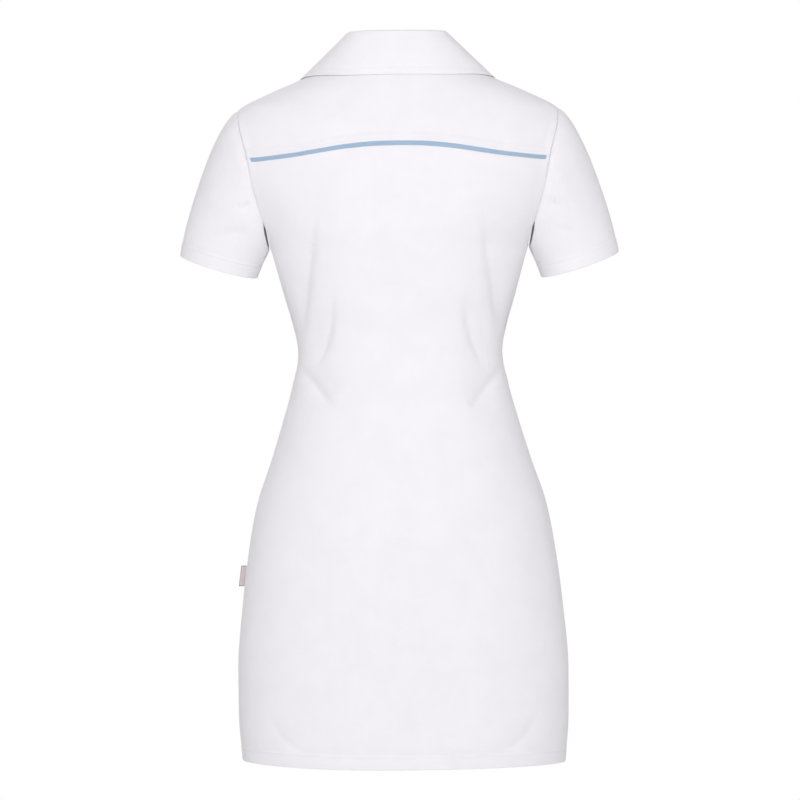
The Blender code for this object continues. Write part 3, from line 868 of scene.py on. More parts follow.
def armhole_stand(points, stand=ARMHOLE_STAND):
    """How far the allowance of the armhole seam lifts the cloth beside it."""
    beside = from_sides(points)
    height = points[..., 2]
    tucked = 1 - BAND_TUCK * bump(beside, BAND_TUCK_WIDTH)
    upper = stand * step_to(-height, -BAND_FOOT, BAND_STEP) * tucked
    lower = LOWER_STAND * step_to(-height, -TIGHT_ABOVE, LOWER_STEP)
    return np.maximum(upper, lower) * np.clip(1 - beside / ARMHOLE_BAND, 0, 1)


def levels_beside_arm(start):
    """Heights from the start down to the armhole's foot, closer together towards it."""
    shares = stepped(1, 0, ROW_STEP / (start - ARMHOLE_FOOT))
    return ARMHOLE_FOOT + (start - ARMHOLE_FOOT) * shares**CLOSER_POWER


def levels_below_arm():
    """Heights from the armhole's foot to the hem, closer together where the hem is sewn."""
    above = stepped(ARMHOLE_FOOT, HEM_HEIGHT + HEM_FINE, ROW_STEP)[1:]
    at_hem = stepped(HEM_HEIGHT + HEM_FINE, HEM_HEIGHT, HEM_FINE_STEP)[1:]
    return np.concatenate([above, at_hem])


# %% [markdown]
# ## The hem's two rows of stitches
# A knit hem is sewn with a twin needle: two rows about 5 mm apart, 14 mm above the edge.
# The thread pulls the cloth in by half a millimetre, and the doubled cloth below it
# stands out a little. The trough above it wanders up and down, deepest towards the sides.
# The hem rises towards the side seams, more on the wearer's left.

# %% The hem's relief
HEM_ROWS = (13.5 * MM, 18.5 * MM)
GROOVE_DEPTH = 0.5 * MM
GROOVE_WIDTH = 1.0 * MM
HEM_STAND = 0.5 * MM
HEM_STEP = 1.5 * MM
HEM_INSIDE = 22
HEM_RISE_LEFT = 7.5 * MM
HEM_RISE_RIGHT = 2.5 * MM
HEM_RISE_FROM = -0.72
HEM_RISE_POWER = 2.3


def rounded_hem(points):
    """Raises the hem towards the side seams, where the skirt is shorter."""
    side = np.clip(np.abs(points[..., 0]) / ring_size(HEM_HEIGHT)[0], 0, 1) ** HEM_RISE_POWER
    low = np.clip((HEM_RISE_FROM - points[..., 2]) / (HEM_RISE_FROM - HEM_HEIGHT), 0, 1)
    raised = points.copy()
    raised[..., 2] += np.where(points[..., 0] > 0, HEM_RISE_LEFT, HEM_RISE_RIGHT) * side * low
    return raised


def grooved(points, above_edge, closed=False):
    """Presses a groove where each row of stitches pulls the cloth in."""
    above = from_foot(points)
    depth = sum(bump(above - at, GROOVE_WIDTH) for at in above_edge)
    return moved_out(points, -GROOVE_DEPTH * depth, closed)


def raised_hem(points, top, closed=False):
    """The doubled cloth of a hem stands out a little, up to its top."""
    return moved_out(points, HEM_STAND * step_to(from_foot(points), top, HEM_STEP), closed)


# %% [markdown]
# ## Folds of the back
# The deepest folds are where the waist is narrowest: a long one from under each arm, a
# shorter one nearer to the middle, and one that slants in from the side seam. Each is a
# little different on the other side. The rest are slow, shallow waves over the skirt. Over
# the hem the two rows of stitches pull a soft trough.

# %% The back's creases
BACK_CREASES = crease_table(
    (1, 104, -188, 117, -262, 127, -346, 5.4, 4.8, 0, 2.6),
    (-1, 106, -196, 116, -262, 129, -344, 5.1, 5, 0, 2.4),
    (1, 83, -284, 87, -341, 107, -373, 5.4, 4.2, 0, 2.4),
    (-1, 83, -288, 82, -334, 108, -378, 5.2, 4.4, 0, 2.3),
    (1, 129, -374, 108, -396, 86, -422, 4.6, 6, 0, -2.2),
    (-1, 130, -375, 107, -406, 87, -425, 4.4, 6, 0, -2.2),
    (1, 129, -376, 108, -398, 86, -424, 4.8, 3.6, 0, 2.2),
    (-1, 130, -377, 107, -408, 87, -427, 4.4, 3.6, 0, 2.2),
    (1, 127, -232, 126, -285, 129, -340, 1.6, 12, 0, 0),
    (-1, 128, -236, 128, -290, 130, -344, 1.5, 12, 0, 0),
    (1, 103, -298, 107, -330, 111, -364, 1.8, 9, 0, 0),
    (-1, 105, -302, 108, -336, 113, -368, 1.7, 9, 0, 0),
    (1, 122, -424, 105, -437, 78, -430, 0.9, 6, 0.2, 0),
    (-1, 124, -420, 102, -440, 84, -444, 0.9, 6, 0.2, 0),
    (1, 146, -202, 124, -216, 106, -244, 1.3, 11, 0, 0),
    (-1, 147, -204, 126, -214, 105, -236, 1.4, 12, 0, 0),
    (-1, 22, -455, 4, -520, 14, -585, 1, 16, 0.2, 0),
    (1, 30, -520, 40, -585, 26, -650, 1, 18, 0.2, 0),
    (-1, 90, -560, 98, -640, 82, -710, 1.1, 19, -0.2, 0),
    (1, 112, -530, 124, -620, 118, -700, 1.1, 19, 0.2, 0),
)
HEM_TROUGH = crease_table(
    (1, 172, -795, 158.5, -867.5, 85, -861.5, 1.9, 5.5, 0, 0),
    (-1, 174, -790, 157.5, -866.5, 88, -862, 2, 5.5, 0, 0),
    (1, 110, -857, 50, -861, -10, -860, 0.9, 4.5, 0, 0),
    (-1, 110, -857.2, 54, -861.5, -10, -860.2, 1, 4.5, 0, 0),
)
print("the back has", len(BACK_CREASES["side"]), "creases")

# %% [markdown]
# ## Making the back
# The rows near the yoke bend with its arched seam, and the bend fades out towards the foot
# of the armhole. The plain grid then gets its creases, its unevenness and its grooves.

# %% Making the back
UNEVEN_HEIGHT = 0.55 * MM
UNEVEN_SIZE = 0.075


def back_at(levels, shares):
    """Rows of the back. The rows near the yoke follow its seam."""
    fade = np.clip((levels - ARMHOLE_FOOT) / (YOKE_END_HEIGHT - ARMHOLE_FOOT), 0, None)
    rise = yoke_seam(shares) - YOKE_END_HEIGHT
    height = levels[:, None] + rise[None, :] * fade[:, None]
    reach = half_turn_at(levels)[:, None]
    return body(height, shares[None, :] * reach) + [0, SEAM_GAP / 2, 0]


def creased_back(points):
    """The back with its creases, unevenness and grooves."""
    points = pressed_in(rounded_hem(points), BACK_CREASES)
    points = pressed_in(points, HEM_TROUGH)
    points = softened(points, 1, UNEVEN_HEIGHT, UNEVEN_SIZE, seam=from_sides(points))
    points = moved_out(points, armhole_stand(points))
    return grooved(raised_hem(points, HEM_ROWS[1]), HEM_ROWS)


back_levels = np.concatenate([levels_beside_arm(YOKE_END_HEIGHT), levels_below_arm()])
back_shares = seam_shares(BODY_COLUMNS)
back_grid = creased_back(back_at(back_levels, back_shares))
hem_line_back = [row_at(back_grid, above) for above in HEM_ROWS]
back_folded = turned_up(rolled_sides(back_grid), HEM_INSIDE)
back_cloth = add_cloth("back_cloth", "back", back_folded, white_pique)

# %% [markdown]
# ## The yoke
# The yoke lies over the shoulder blades, from the neckline and the shoulder seams down to
# its own arched seam. Rings of one height would be far apart on the shoulders, which are
# nearly level. So its rows are smooth paths seen from above, lifted to the shoulders.
# The seam allowance underneath lifts a band along its lower edge and beside the armholes,
# and a row of stitches holds it.

# %% Paths over the shoulders
ROOF_ROWS = 36
SEAM_STEPS = 128
BOW_POWER = 4
MIRROR = np.array([-1, 1, 1])


def resampled(line, shares):
    """Points along a line of points at these shares of its length."""
    along = lengths_along(line)
    return read_along(np.asarray(shares) * along[-1], along, line)


def plan_patch(top, bottom, edge, shares, rows):
    """Rows over the shoulders between two lines with one point for each column."""
    t = np.linspace(0, 1, LINE_STEPS)[:, None]
    edge = resampled(edge, t[:, 0])
    bow = edge - (edge[0] * (1 - t) + edge[-1] * t)
    columns = []
    for share, first, last in zip(shares, top, bottom):
        side = np.array([np.sign(share), 1, 1])
        path = first * (1 - t) + last * t + bow * side * share**BOW_POWER
        column = roof(path[:, 0], path[:, 1])
        column[0] = first
        column[-1] = last
        columns.append(resampled(column, rows))
    return np.stack(columns, axis=1)


def armhole_edge(end_swing):
    """The armhole's seam line from the shoulder seam's tip."""
    return armhole(np.linspace(SHOULDER_SEAM_SWING, end_swing, SEAM_STEPS))


def shoulder_line(tip, t):
    """The shoulder seam, from beside the neck to its tip."""
    start = neckline(SHOULDER_SEAM_TURN)
    line = start * (1 - t[:, None]) + tip * t[:, None]
    return roof(line[:, 0], line[:, 1])


def with_mirror(half_line, shares):
    """Both halves of a line, of which half_line gives the left one for shares from 0 to 1."""
    return half_line(np.abs(shares)) * np.where(shares[:, None] < 0, MIRROR, 1)


# %% [markdown]
# ## Cutting out the yoke
# The top row follows the neckline and then the shoulder seam at even steps. The bottom row
# follows the yoke seam, and its edge laps over the piping.

# %% The yoke
YOKE_STITCHES = 9.5 * MM
YOKE_ALLOWANCE = 10.5 * MM
YOKE_STAND = 0.8 * MM
YOKE_STEP = 0.8 * MM
YOKE_LIP = 0.9 * MM
YOKE_LIP_WIDTH = 3 * MM
YOKE_UNEVEN = 0.5 * MM
YOKE_FINE_FROM = 0.86
YOKE_FINE_ROWS = 16
YOKE_INSIDE = 4
FLAT_AT_SHOULDER = 24 * MM
YOKE_CREASES = crease_table(
    (1, 196, -52, 178, -58, 160, -60, 0.9, 4.5, 0.3, 0),
    (-1, 197, -54, 182, -62, 166, -66, 0.9, 4.5, 0.3, 0),
    (1, 193, -72, 176, -80, 156, -82, 0.7, 6, 0.3, 0),
    (-1, 190, -80, 172, -86, 150, -86, 0.7, 6, 0.3, 0),
)

yoke_edge = armhole_edge(armhole_swing(YOKE_END_HEIGHT))


def yoke_top(shares):
    """The neckline, then the shoulder seam, by share of the way to the shoulder's tip."""
    on_neck = neckline(np.linspace(0, SHOULDER_SEAM_TURN, SEAM_STEPS))
    on_seam = shoulder_line(yoke_edge[0], np.linspace(0, 1, SEAM_STEPS))
    return resampled(np.concatenate([on_neck, on_seam[1:]]), shares)


def raised_edges(points):
    """Lifts the bands under which the seam allowances lie."""
    stand = YOKE_STAND * step_to(from_foot(points), YOKE_ALLOWANCE, YOKE_STEP)
    over_piping = YOKE_LIP * bump(from_foot(points), YOKE_LIP_WIDTH)
    past_shoulder = 1 - step_to(lengths_down(points), FLAT_AT_SHOULDER, FLAT_AT_SHOULDER / 2)
    beside_arm = armhole_stand(points) * past_shoulder
    return moved_out(points, np.maximum(stand, beside_arm) + over_piping)


yoke_shares = seam_shares(BODY_COLUMNS)
yoke_bottom = body(yoke_seam(yoke_shares), yoke_shares * half_turn_at(np.array(YOKE_END_HEIGHT)))
coarse_rows = np.linspace(0, YOKE_FINE_FROM, ROOF_ROWS)[:-1]
yoke_rows = np.concatenate([coarse_rows, np.linspace(YOKE_FINE_FROM, 1, YOKE_FINE_ROWS)])
yoke_line = with_mirror(yoke_top, yoke_shares)
yoke_plain = plan_patch(yoke_line, yoke_bottom, yoke_edge, yoke_shares, yoke_rows)
yoke_grid = pressed_in(yoke_plain + [0, SEAM_GAP / 2, SEAM_GAP], YOKE_CREASES)
yoke_grid = softened(yoke_grid, 2, YOKE_UNEVEN, UNEVEN_SIZE, seam=from_sides(yoke_grid))
yoke_grid = grooved(raised_edges(yoke_grid), [YOKE_STITCHES])
yoke_stitch_line = [row_at(yoke_grid, YOKE_STITCHES)]
yoke_folded = turned_up(rolled_sides(yoke_grid), YOKE_INSIDE)
yoke_cloth = add_cloth("yoke_cloth", "yoke", yoke_folded, white_pique)

# %% [markdown]
# ## The piping
# The piping is a strip of blue woven tape, folded flat and caught in the yoke seam, so that
# nearly 5 mm of it shows. It could be a painted stripe, but a real strip has an edge, which
# casts a fine shadow. A plain weave has its threads at right angles, about 0.4 mm apart,
# drawn here 1.2 mm apart so that they show. It is matt, with a little less sheen than knit.

# %% Piping
PIPING_SHOWN = 4.9 * MM
PIPING_HIDDEN = 1.6 * MM
PIPING_STAND = 1.0 * MM
PIPING_REACH = 0.975
PIPING_WALL = 0.5 * MM
PIPING_FOLD = 0.5 * MM
PIPING_ROWS = 10
PIPING_INSIDE = 5
PIPING_UNEVEN_SIZE = 0.02
TRIM_UNEVEN = 0.25 * MM
TAPE_THREADS = 1.2 * MM
TAPE_RELIEF = 0.06 * MM

# The darker blue is painted shade in the weave's valleys, mixed with the greyer tone of uneven yarn.
piping_tape = knitted("plain_woven_tape", "#A4BBD3", "#98AFC9", TAPE_THREADS, TAPE_RELIEF, sheen=0.04)
piping_levels = YOKE_END_HEIGHT - np.linspace(-PIPING_HIDDEN, PIPING_SHOWN, PIPING_ROWS)
piping_shares = back_shares[np.abs(back_shares) < PIPING_REACH]
piping_grid = moved_out(back_at(piping_levels, piping_shares), PIPING_STAND)
piping_grid = softened(piping_grid, 5, TRIM_UNEVEN, PIPING_UNEVEN_SIZE)
piping_folded = turned_up(piping_grid, PIPING_INSIDE, PIPING_FOLD)
piping = add_cloth("piping_tape", "piping", piping_folded, piping_tape, PIPING_WALL)

# %% [markdown]
# ## The front
# The front is cut in one too, with a slit from the neckline down for the placket. It isn't
# seen in the photograph, so it gets the creases that such a dress has: from the underarm
# down, across the waist, and fine ones beside the placket.

# %% The front's creases
FRONT_CREASES = crease_table(
    (1, 101, -220, 108, -280, 125, -350, 4.4, 6, -0.3, 1.6),
    (-1, 98, -228, 107, -285, 123, -352, 4.1, 6, -0.3, 1.6),
    (1, 130, -376, 104, -396, 66, -414, 5.8, 6.5, 0.3, -1.6),
    (-1, 130, -372, 106, -394, 70, -416, 5.4, 6.5, 0.3, -1.6),
    (1, 122, -404, 104, -420, 78, -440, 1.3, 6, 0.25, 0),
    (-1, 124, -402, 100, -424, 80, -438, 1.2, 6, 0.25, 0),
    (1, 146, -184, 120, -200, 86, -206, 2, 8, 0.25, 0),
    (-1, 147, -182, 124, -202, 82, -210, 1.8, 8.5, 0.25, 0),
    (1, 20, -205, 34, -228, 52, -244, 0.9, 5, 0.2, 0),
    (-1, 18, -208, 30, -234, 46, -254, 0.9, 5, 0.2, 0),
    (1, 50, -540, 62, -620, 48, -700, 1, 18, 0.2, 0),
    (-1, 72, -520, 84, -610, 76, -700, 1, 18, 0.2, 0),
    (-1, 10, -450, 4, -520, 18, -590, 0.9, 16, 0.2, 0),
)
print("the front has", len(FRONT_CREASES["side"]), "creases")

# %% [markdown]
# ## Rows of the front
# A row's columns are shares of its half: 0 in the middle, the slit's edge a little further
# out, and 1 at the seam. The top row follows the neckline and then the shoulder seam.

# %% Rows of the front
PLACKET_HALF_WIDTH = 0.0155
PLACKET_FOOT = -0.196
SLIT_SHARE = 0.5 / 15.5
NECK_SHARE_BEFORE = 7 / 15
FRONT_MIDDLE_COLUMNS = 9
FRONT_SIDE_COLUMNS = 62

slit_turn = math.asin(PLACKET_HALF_WIDTH / NECK_HALF_WIDTH)
front_edge = armhole_edge(-armhole_swing(ROOF_FOOT))


def front_shares():
    """Shares for the front's columns: 0 in the middle and 1 at the seam."""
    middle = np.linspace(-SLIT_SHARE, SLIT_SHARE, FRONT_MIDDLE_COLUMNS)
    side = np.linspace(SLIT_SHARE, 1 - EVEN_FROM, FRONT_SIDE_COLUMNS)[1:]
    side = np.concatenate([side, 1 - BESIDE_SEAM[::-1]])
    return np.concatenate([-side[::-1], middle, side])


def front_top(shares):
    """The neckline before the shoulder seam, then the shoulder seam."""
    index = np.clip((shares - SLIT_SHARE) / (1 - SLIT_SHARE), 0, 1)
    neck = np.minimum(index / NECK_SHARE_BEFORE, 1)
    beside_slit = math.pi - slit_turn + (SHOULDER_SEAM_TURN - math.pi + slit_turn) * neck
    in_slit = math.pi - np.arcsin(PLACKET_HALF_WIDTH * np.minimum(shares / SLIT_SHARE, 1) / NECK_HALF_WIDTH)
    on_neck = neckline(np.where(shares < SLIT_SHARE, in_slit, beside_slit))
    seam = np.clip((index - NECK_SHARE_BEFORE) / (1 - NECK_SHARE_BEFORE), 0, 1)
    return np.where((index <= NECK_SHARE_BEFORE)[:, None], on_neck, shoulder_line(front_edge[0], seam))


def front_row(height, shares):
    """One row of the front, at a height below the shoulders."""
    reach = half_turn_at(np.array(height))
    slit = math.pi - turn_at(PLACKET_HALF_WIDTH, height, False)
    size = np.abs(shares)
    inner = slit * size / SLIT_SHARE
    outer = slit + (reach - slit) * (size - SLIT_SHARE) / (1 - SLIT_SHARE)
    turns = np.sign(shares) * np.where(size < SLIT_SHARE, inner, outer)
    return body(height, math.pi - turns)


print("the slit reaches", round(math.degrees(slit_turn), 1), "degrees round the neck each way")

# %% [markdown]
# ## Making the front
# The upper rows go over the chest to the shoulders, and the lower ones follow the body to
# the hem. One of them lies at the placket's foot, so that the slit ends in a straight edge.
# The faces in the slit are then left out.

# %% Making the front
FRONT_STAND_SHARE = 0.5

shares_in_front = front_shares()
front_line = with_mirror(front_top, shares_in_front)
front_bottom = front_row(ROOF_FOOT, shares_in_front)
chest_rows = np.linspace(0, 1, ROOF_ROWS)
over_chest = plan_patch(front_line, front_bottom, front_edge, shares_in_front, chest_rows)
front_levels = np.concatenate([levels_beside_arm(ROOF_FOOT)[1:], levels_below_arm()])
front_levels[np.argmin(np.abs(front_levels - PLACKET_FOOT))] = PLACKET_FOOT
below_chest = np.stack([front_row(level, shares_in_front) for level in front_levels])
front_grid = np.concatenate([over_chest, below_chest])
front_grid = front_grid[:, ::-1] - [0, SEAM_GAP / 2, 0]
front_grid = pressed_in(rounded_hem(front_grid), FRONT_CREASES)
front_grid = softened(front_grid, 3, UNEVEN_HEIGHT, UNEVEN_SIZE, seam=from_sides(front_grid))
front_grid = moved_out(front_grid, armhole_stand(front_grid, 0.0) * FRONT_STAND_SHARE)
front_grid = grooved(raised_hem(pressed_in(front_grid, HEM_TROUGH), HEM_ROWS[1]), HEM_ROWS)
hem_line_front = [row_at(front_grid, above) for above in HEM_ROWS]


def outside_slit(points):
    """Which faces of the front are cloth: those in the placket's slit aren't."""
    centre = (points[:-1, :-1] + points[1:, 1:]) / 2
    in_slit = (np.abs(centre[..., 0]) < PLACKET_HALF_WIDTH) & (centre[..., 2] > PLACKET_FOOT)
    return ~(in_slit & (centre[..., 1] < 0))


front_folded = turned_up(rolled_sides(front_grid), HEM_INSIDE)
front_cloth = add_cloth("front_cloth", "front", front_folded, white_pique, keep=outside_slit)

# %% [markdown]
# ## The sleeves
# A sleeve is one piece, sewn into a tube and set into the armhole. Its cap has a little more
# length than the armhole, so small puckers fan out from the seam at the top. Where it hangs
# from the shoulder it folds softly towards the underarm.

# %% The sleeves' creases
SLEEVE_CREASES = crease_table(
    (1, 186, -166, 194, -172, 206, -175, 3, 2.6, 0.15, 0),
    (-1, 187, -164, 195, -171, 208, -173, 2.7, 2.6, 0.15, 0),
    (1, 194, -198, 208, -204, 224, -207, 2, 3, 0.15, 0),
    (-1, 193, -200, 207, -205, 221, -206, 2, 3, 0.15, 0),
    (1, 197, -141, 210, -146, 228, -148, 1.2, 4, 0.1, 0),
    (-1, 199, -144, 212, -147, 227, -146, 1.2, 4, 0.1, 0),
    (1, 236, -100, 250, -130, 256, -170, 0.8, 10, 0, 0),
    (-1, 234, -104, 248, -136, 252, -176, 0.8, 10, 0, 0),
)
print("the sleeves have", len(SLEEVE_CREASES["side"]), "creases")

# %% [markdown]
# ## The sweep of a sleeve
# A sleeve is a smooth sweep from the armhole to the cuff: each point of the seam leaves in
# its own direction and arrives at the cuff in another. A bent tube pushed into the body
# would be simpler, but its seam would not fit the armhole. The cuff is a slanted ellipse, a
# little shorter on its inner side, more so on the wearer's left. Under the back of the arm
# the seam stands a little apart, as it does when an arm is raised.

# %% The sweep of a sleeve
CUFF_OUTER = np.array([0.2785, -0.018, -0.2295])
CUFF_INNER = np.array([0.1805, -0.018, -0.2630])
CUFF_DEPTH = 0.044
CUFF_FORWARD = math.radians(8)
LEAVE_TOP = np.array([0.085, 0.0, -0.036])
LEAVE_SIDE = np.array([0.060, 0.012, -0.060])
LEAVE_UNDERARM = np.array([0.010, 0.0, -0.034])
REACH_TOP = np.array([0.020, -0.012, -0.150])
REACH_UNDERARM = np.array([0.012, -0.006, -0.040])
SLEEVE_SEAM_GAP = 0.2 * MM
SLEEVE_COLUMNS = 132
PLAIN_ROWS = 40
UNDERARM_FROM = -0.70
UNDERARM_TO = -0.975
UNDERARM_GAP = 2.4 * MM
GAP_OPENS = 0.05
GAP_CLOSES = 0.01

sleeve_swings = np.linspace(math.tau, 0, SLEEVE_COLUMNS + 1)


def cuff(swing, inner_rise):
    """The cuff's edge, in step with the armhole, shorter on its inner side by the rise."""
    middle = (CUFF_OUTER + CUFF_INNER) / 2
    half = (CUFF_OUTER - CUFF_INNER) / 2
    back = np.array([0, math.cos(CUFF_FORWARD), -math.sin(CUFF_FORWARD)]) * CUFF_DEPTH
    swing = np.asarray(swing)[..., None]
    rise = np.array([0, 0, inner_rise]) * (1 - np.cos(swing)) / 2
    return middle + half * np.cos(swing) + back * np.sin(swing) + rise


def sleeve_points(shares, inner_rise):
    """The wearer's left sleeve, from the armhole to the cuff, as a smooth sweep."""
    height = np.cos(sleeve_swings)
    behind = np.sin(sleeve_swings)
    top = np.clip(height, 0, 1)[:, None]
    under = np.clip(-height, 0, 1)[:, None]
    side = 1 - top - under
    away = LEAVE_SIDE * np.stack([np.ones_like(behind), behind, np.ones_like(behind)], axis=-1)
    leave = LEAVE_TOP * top + away * side + LEAVE_UNDERARM * under
    reach = REACH_TOP * (1 - under) + REACH_UNDERARM * under
    low = step_to(height, UNDERARM_FROM, GAP_OPENS) - step_to(height, UNDERARM_TO, GAP_CLOSES)
    agape = UNDERARM_GAP * low * (behind > 0)
    start = armhole(sleeve_swings) + unit(leave) * (SLEEVE_SEAM_GAP + agape[:, None])
    end = cuff(sleeve_swings, inner_rise)
    t = shares[:, None, None]
    blend = start * (1 + 2 * t) * (1 - t) ** 2 + end * t**2 * (3 - 2 * t)
    return blend + leave * t * (1 - t) ** 2 + reach * t**2 * (t - 1)


plain_sleeve = sleeve_points(np.linspace(0, 1, PLAIN_ROWS), 0.0)
print("a sleeve measures", round(lengths_down(plain_sleeve)[-1].max(), 3), "m down its outer side")

# %% [markdown]
# ## Making the sleeves
# The sleeve's rows stand closest at the seam and at the hemmed cuff. Its seam is pressed
# round the armhole and rolls in loosely under the arm. An allowance inside closes it.

# %% Making the sleeves
RISE_LEFT = 4.4 * MM
RISE_RIGHT = 2.5 * MM
SEAM_SPREAD = 1.4
ROWS_FROM = 0.04
CUFF_FINE_FROM = 0.80
SLEEVE_ROWS = 40
CUFF_FINE_ROWS = 24
CUFF_ROWS = (13.5 * MM, 18.5 * MM)
CUFF_INSIDE = 14
SLEEVE_UNEVEN_SIZE = 0.05
SLEEVE_ALLOWANCE = 5 * MM
SLEEVE_LOOSE_STEP = 0.06
PUCKER_DEPTH = 0.45 * MM
PUCKER_REACH = 11 * MM
PUCKER_CALM = 0.8
PUCKER_CALM_WIDTH = 1.5 * MM
PUCKERS = 47
PUCKER_DRIFT = 1.6
PUCKER_DRIFTS = 9
PUCKER_POWER = 3


def puckers(from_seam, seed):
    """How far the puckers of a sleeve's cap move each point out."""
    near_top = np.clip(np.cos(sleeve_swings), 0, 1) ** PUCKER_POWER
    drift = np.sin(sleeve_swings * PUCKER_DRIFTS + seed) * PUCKER_DRIFT
    ripple = np.cos(sleeve_swings * PUCKERS + drift) * near_top[None, :]
    fade = bump(from_seam, PUCKER_REACH) - PUCKER_CALM * bump(from_seam, PUCKER_CALM_WIDTH)
    return PUCKER_DEPTH * ripple * fade


def add_sleeve(name, node, side, inner_rise, seed):
    """A sleeve with its creases, puckers, rolled seam and hemmed cuff."""
    upper = np.linspace(ROWS_FROM, CUFF_FINE_FROM, SLEEVE_ROWS)
    at_cuff = np.linspace(CUFF_FINE_FROM, 1, CUFF_FINE_ROWS)[1:]
    points = sleeve_points(np.concatenate([BESIDE_SEAM * SEAM_SPREAD, upper, at_cuff]), inner_rise)
    if side < 0:
        points = points[:, ::-1] * MIRROR
    points = pressed_in(points, SLEEVE_CREASES, closed=True)
    from_seam = lengths_down(points)
    points = softened(points, seed, UNEVEN_HEIGHT, SLEEVE_UNEVEN_SIZE, closed=True, seam=from_seam)
    points = moved_out(points, puckers(from_seam, seed), True)
    points = grooved(raised_hem(points, CUFF_ROWS[1], True), CUFF_ROWS, True)
    lines = [row_at(points, above, True) for above in CUFF_ROWS]
    loose = step_to(np.cos(sleeve_swings), UNDERARM_FROM, SLEEVE_LOOSE_STEP)[None, :]
    roll = moved_out(points, -edge_roll(loose, from_seam), True)
    inward = roll[:1] - normals(roll, True)[:1] * SLEEVE_ALLOWANCE
    rolled = np.concatenate([inward, turned_up(roll, CUFF_INSIDE, closed=True)])
    return add_cloth(name, node, rolled, white_pique, closed=True), lines


sleeve_left, cuff_left_lines = add_sleeve("sleeve_left_cloth", "sleeve_left", 1, RISE_LEFT, 4)
sleeve_right, cuff_right_lines = add_sleeve("sleeve_right_cloth", "sleeve_right", -1, RISE_RIGHT, 6)

# %% [markdown]
# ## The collar
# The collar is one folded piece: it stands up round the neck, rolls over and falls back as
# a leaf. Stand and leaf could be two meshes, but one keeps the roll between them smooth. Its
# leaf is two layers, sewn together at the edge and turned, so the edge is round and a row of
# stitches runs 8 mm above it. Two tables say where the fold and the edge lie, by their turn
# from the centre back in degrees.

# %% The collar's lines
COLLAR_FOLD = table(
    "turn x y z",
    (0, 0.0000, 0.0510, 0.0500),
    (30, 0.0305, 0.0455, 0.0502),
    (60, 0.0545, 0.0285, 0.0500),
    (90, 0.0610, 0.0000, 0.0435),
    (120, 0.0570, -0.0330, 0.0270),
    (150, 0.0350, -0.0580, 0.0000),
    (177, 0.0050, -0.0720, -0.0250),
)
COLLAR_EDGE = table(
    "turn body_turn z lift",
    (0, 0.0, -0.0065, 0.0018),
    (30, 28.4, -0.0070, 0.0018),
    (60, 58.7, -0.0060, 0.0018),
    (75, 73.8, -0.0068, 0.0018),
    (90, 90.0, -0.0085, 0.0018),
    (105, 122.5, -0.0180, 0.0018),
    (120, 138.5, -0.0330, 0.0020),
    (150, 157.4, -0.0680, 0.0024),
    (177, 170.0, -0.0980, 0.0028),
)
print("the leaf falls", round((COLLAR_FOLD["z"][0] - COLLAR_EDGE["z"][0]) / MM), "mm behind")

# %% [markdown]
# ## Folding the collar
# One function gives the collar's section at any turn round the neck: up the stand, round
# the fold and down the leaf to its edge. All the sections side by side make its grid.

# %% Folding the collar
COLLAR_FOLD_RADIUS = 4.2 * MM
COLLAR_BELLY = 0.6 * MM
COLLAR_HALF_COLUMNS = 80
STAND_ROWS = 9
ROLL_ROWS = 13
LEAF_ROWS = 34
COLLAR_STITCHES = 8.0 * MM
COLLAR_WALL = 0.6 * MM
COLLAR_INSIDE = 10
COLLAR_EDGE_FOLD = 0.55 * MM
COLLAR_UNEVEN_SIZE = 0.045
TRIM_WALL = 1.2 * MM
SLOPE_STEP = 0.001


def body_normal(height, turn):
    """The direction straight out of the body."""
    down = body(height - SLOPE_STEP, turn) - body(height + SLOPE_STEP, turn)
    along = body(height, turn + SLOPE_STEP) - body(height, turn - SLOPE_STEP)
    return unit(np.cross(along, down))


def collar_column(turn):
    """One section of the collar, at this turn in degrees."""
    side = MIRROR if turn < 0 else 1
    turn = abs(turn)
    angle = math.radians(turn)
    out = np.array([math.sin(angle), math.cos(angle), 0])
    up = np.array([0, 0, 1])
    fold = np.array([smooth(turn, COLLAR_FOLD["turn"], COLLAR_FOLD[key]) for key in "xyz"])
    edge_keys = ("body_turn", "z", "lift")
    edge_turn, z, lift = [smooth(turn, COLLAR_EDGE["turn"], COLLAR_EDGE[key]) for key in edge_keys]
    edge_turn = math.radians(edge_turn)
    edge = body(z, edge_turn) + body_normal(z, edge_turn) * lift
    foot = neckline(angle) - out * TRIM_WALL + up * SEAM_GAP
    stand_top = fold - up * COLLAR_FOLD_RADIUS
    centre = stand_top + out * COLLAR_FOLD_RADIUS
    leaf = edge - centre
    end_angle = math.atan2(leaf @ out, leaf @ up)
    stand = foot + (stand_top - foot) * np.linspace(0, 1, STAND_ROWS + 1)[:-1, None]
    angles = np.linspace(0, end_angle, ROLL_ROWS)[:, None]
    roll = centre + COLLAR_FOLD_RADIUS * (up * np.sin(angles) - out * np.cos(angles))
    t = np.linspace(0, 1, LEAF_ROWS + 1)[1:, None]
    belly = COLLAR_BELLY * np.sin(math.pi * t) * (out + up)
    fall = roll[-1] + (edge - roll[-1]) * t + belly
    return np.concatenate([stand, roll, fall]) * side


collar_end = COLLAR_FOLD["turn"][-1]
collar_turns = np.linspace(-collar_end, collar_end, 2 * COLLAR_HALF_COLUMNS + 1)
collar_grid = np.stack([collar_column(turn) for turn in collar_turns], axis=1)
collar_grid = softened(collar_grid, 7, TRIM_UNEVEN, COLLAR_UNEVEN_SIZE)
collar_grid = grooved(collar_grid, [COLLAR_STITCHES])
collar_line = row_at(collar_grid, COLLAR_STITCHES)
collar_folded = turned_up(collar_grid, COLLAR_INSIDE, COLLAR_EDGE_FOLD)
collar_cloth = add_cloth("collar_cloth", "collar", collar_folded, white_pique, wall=COLLAR_WALL)

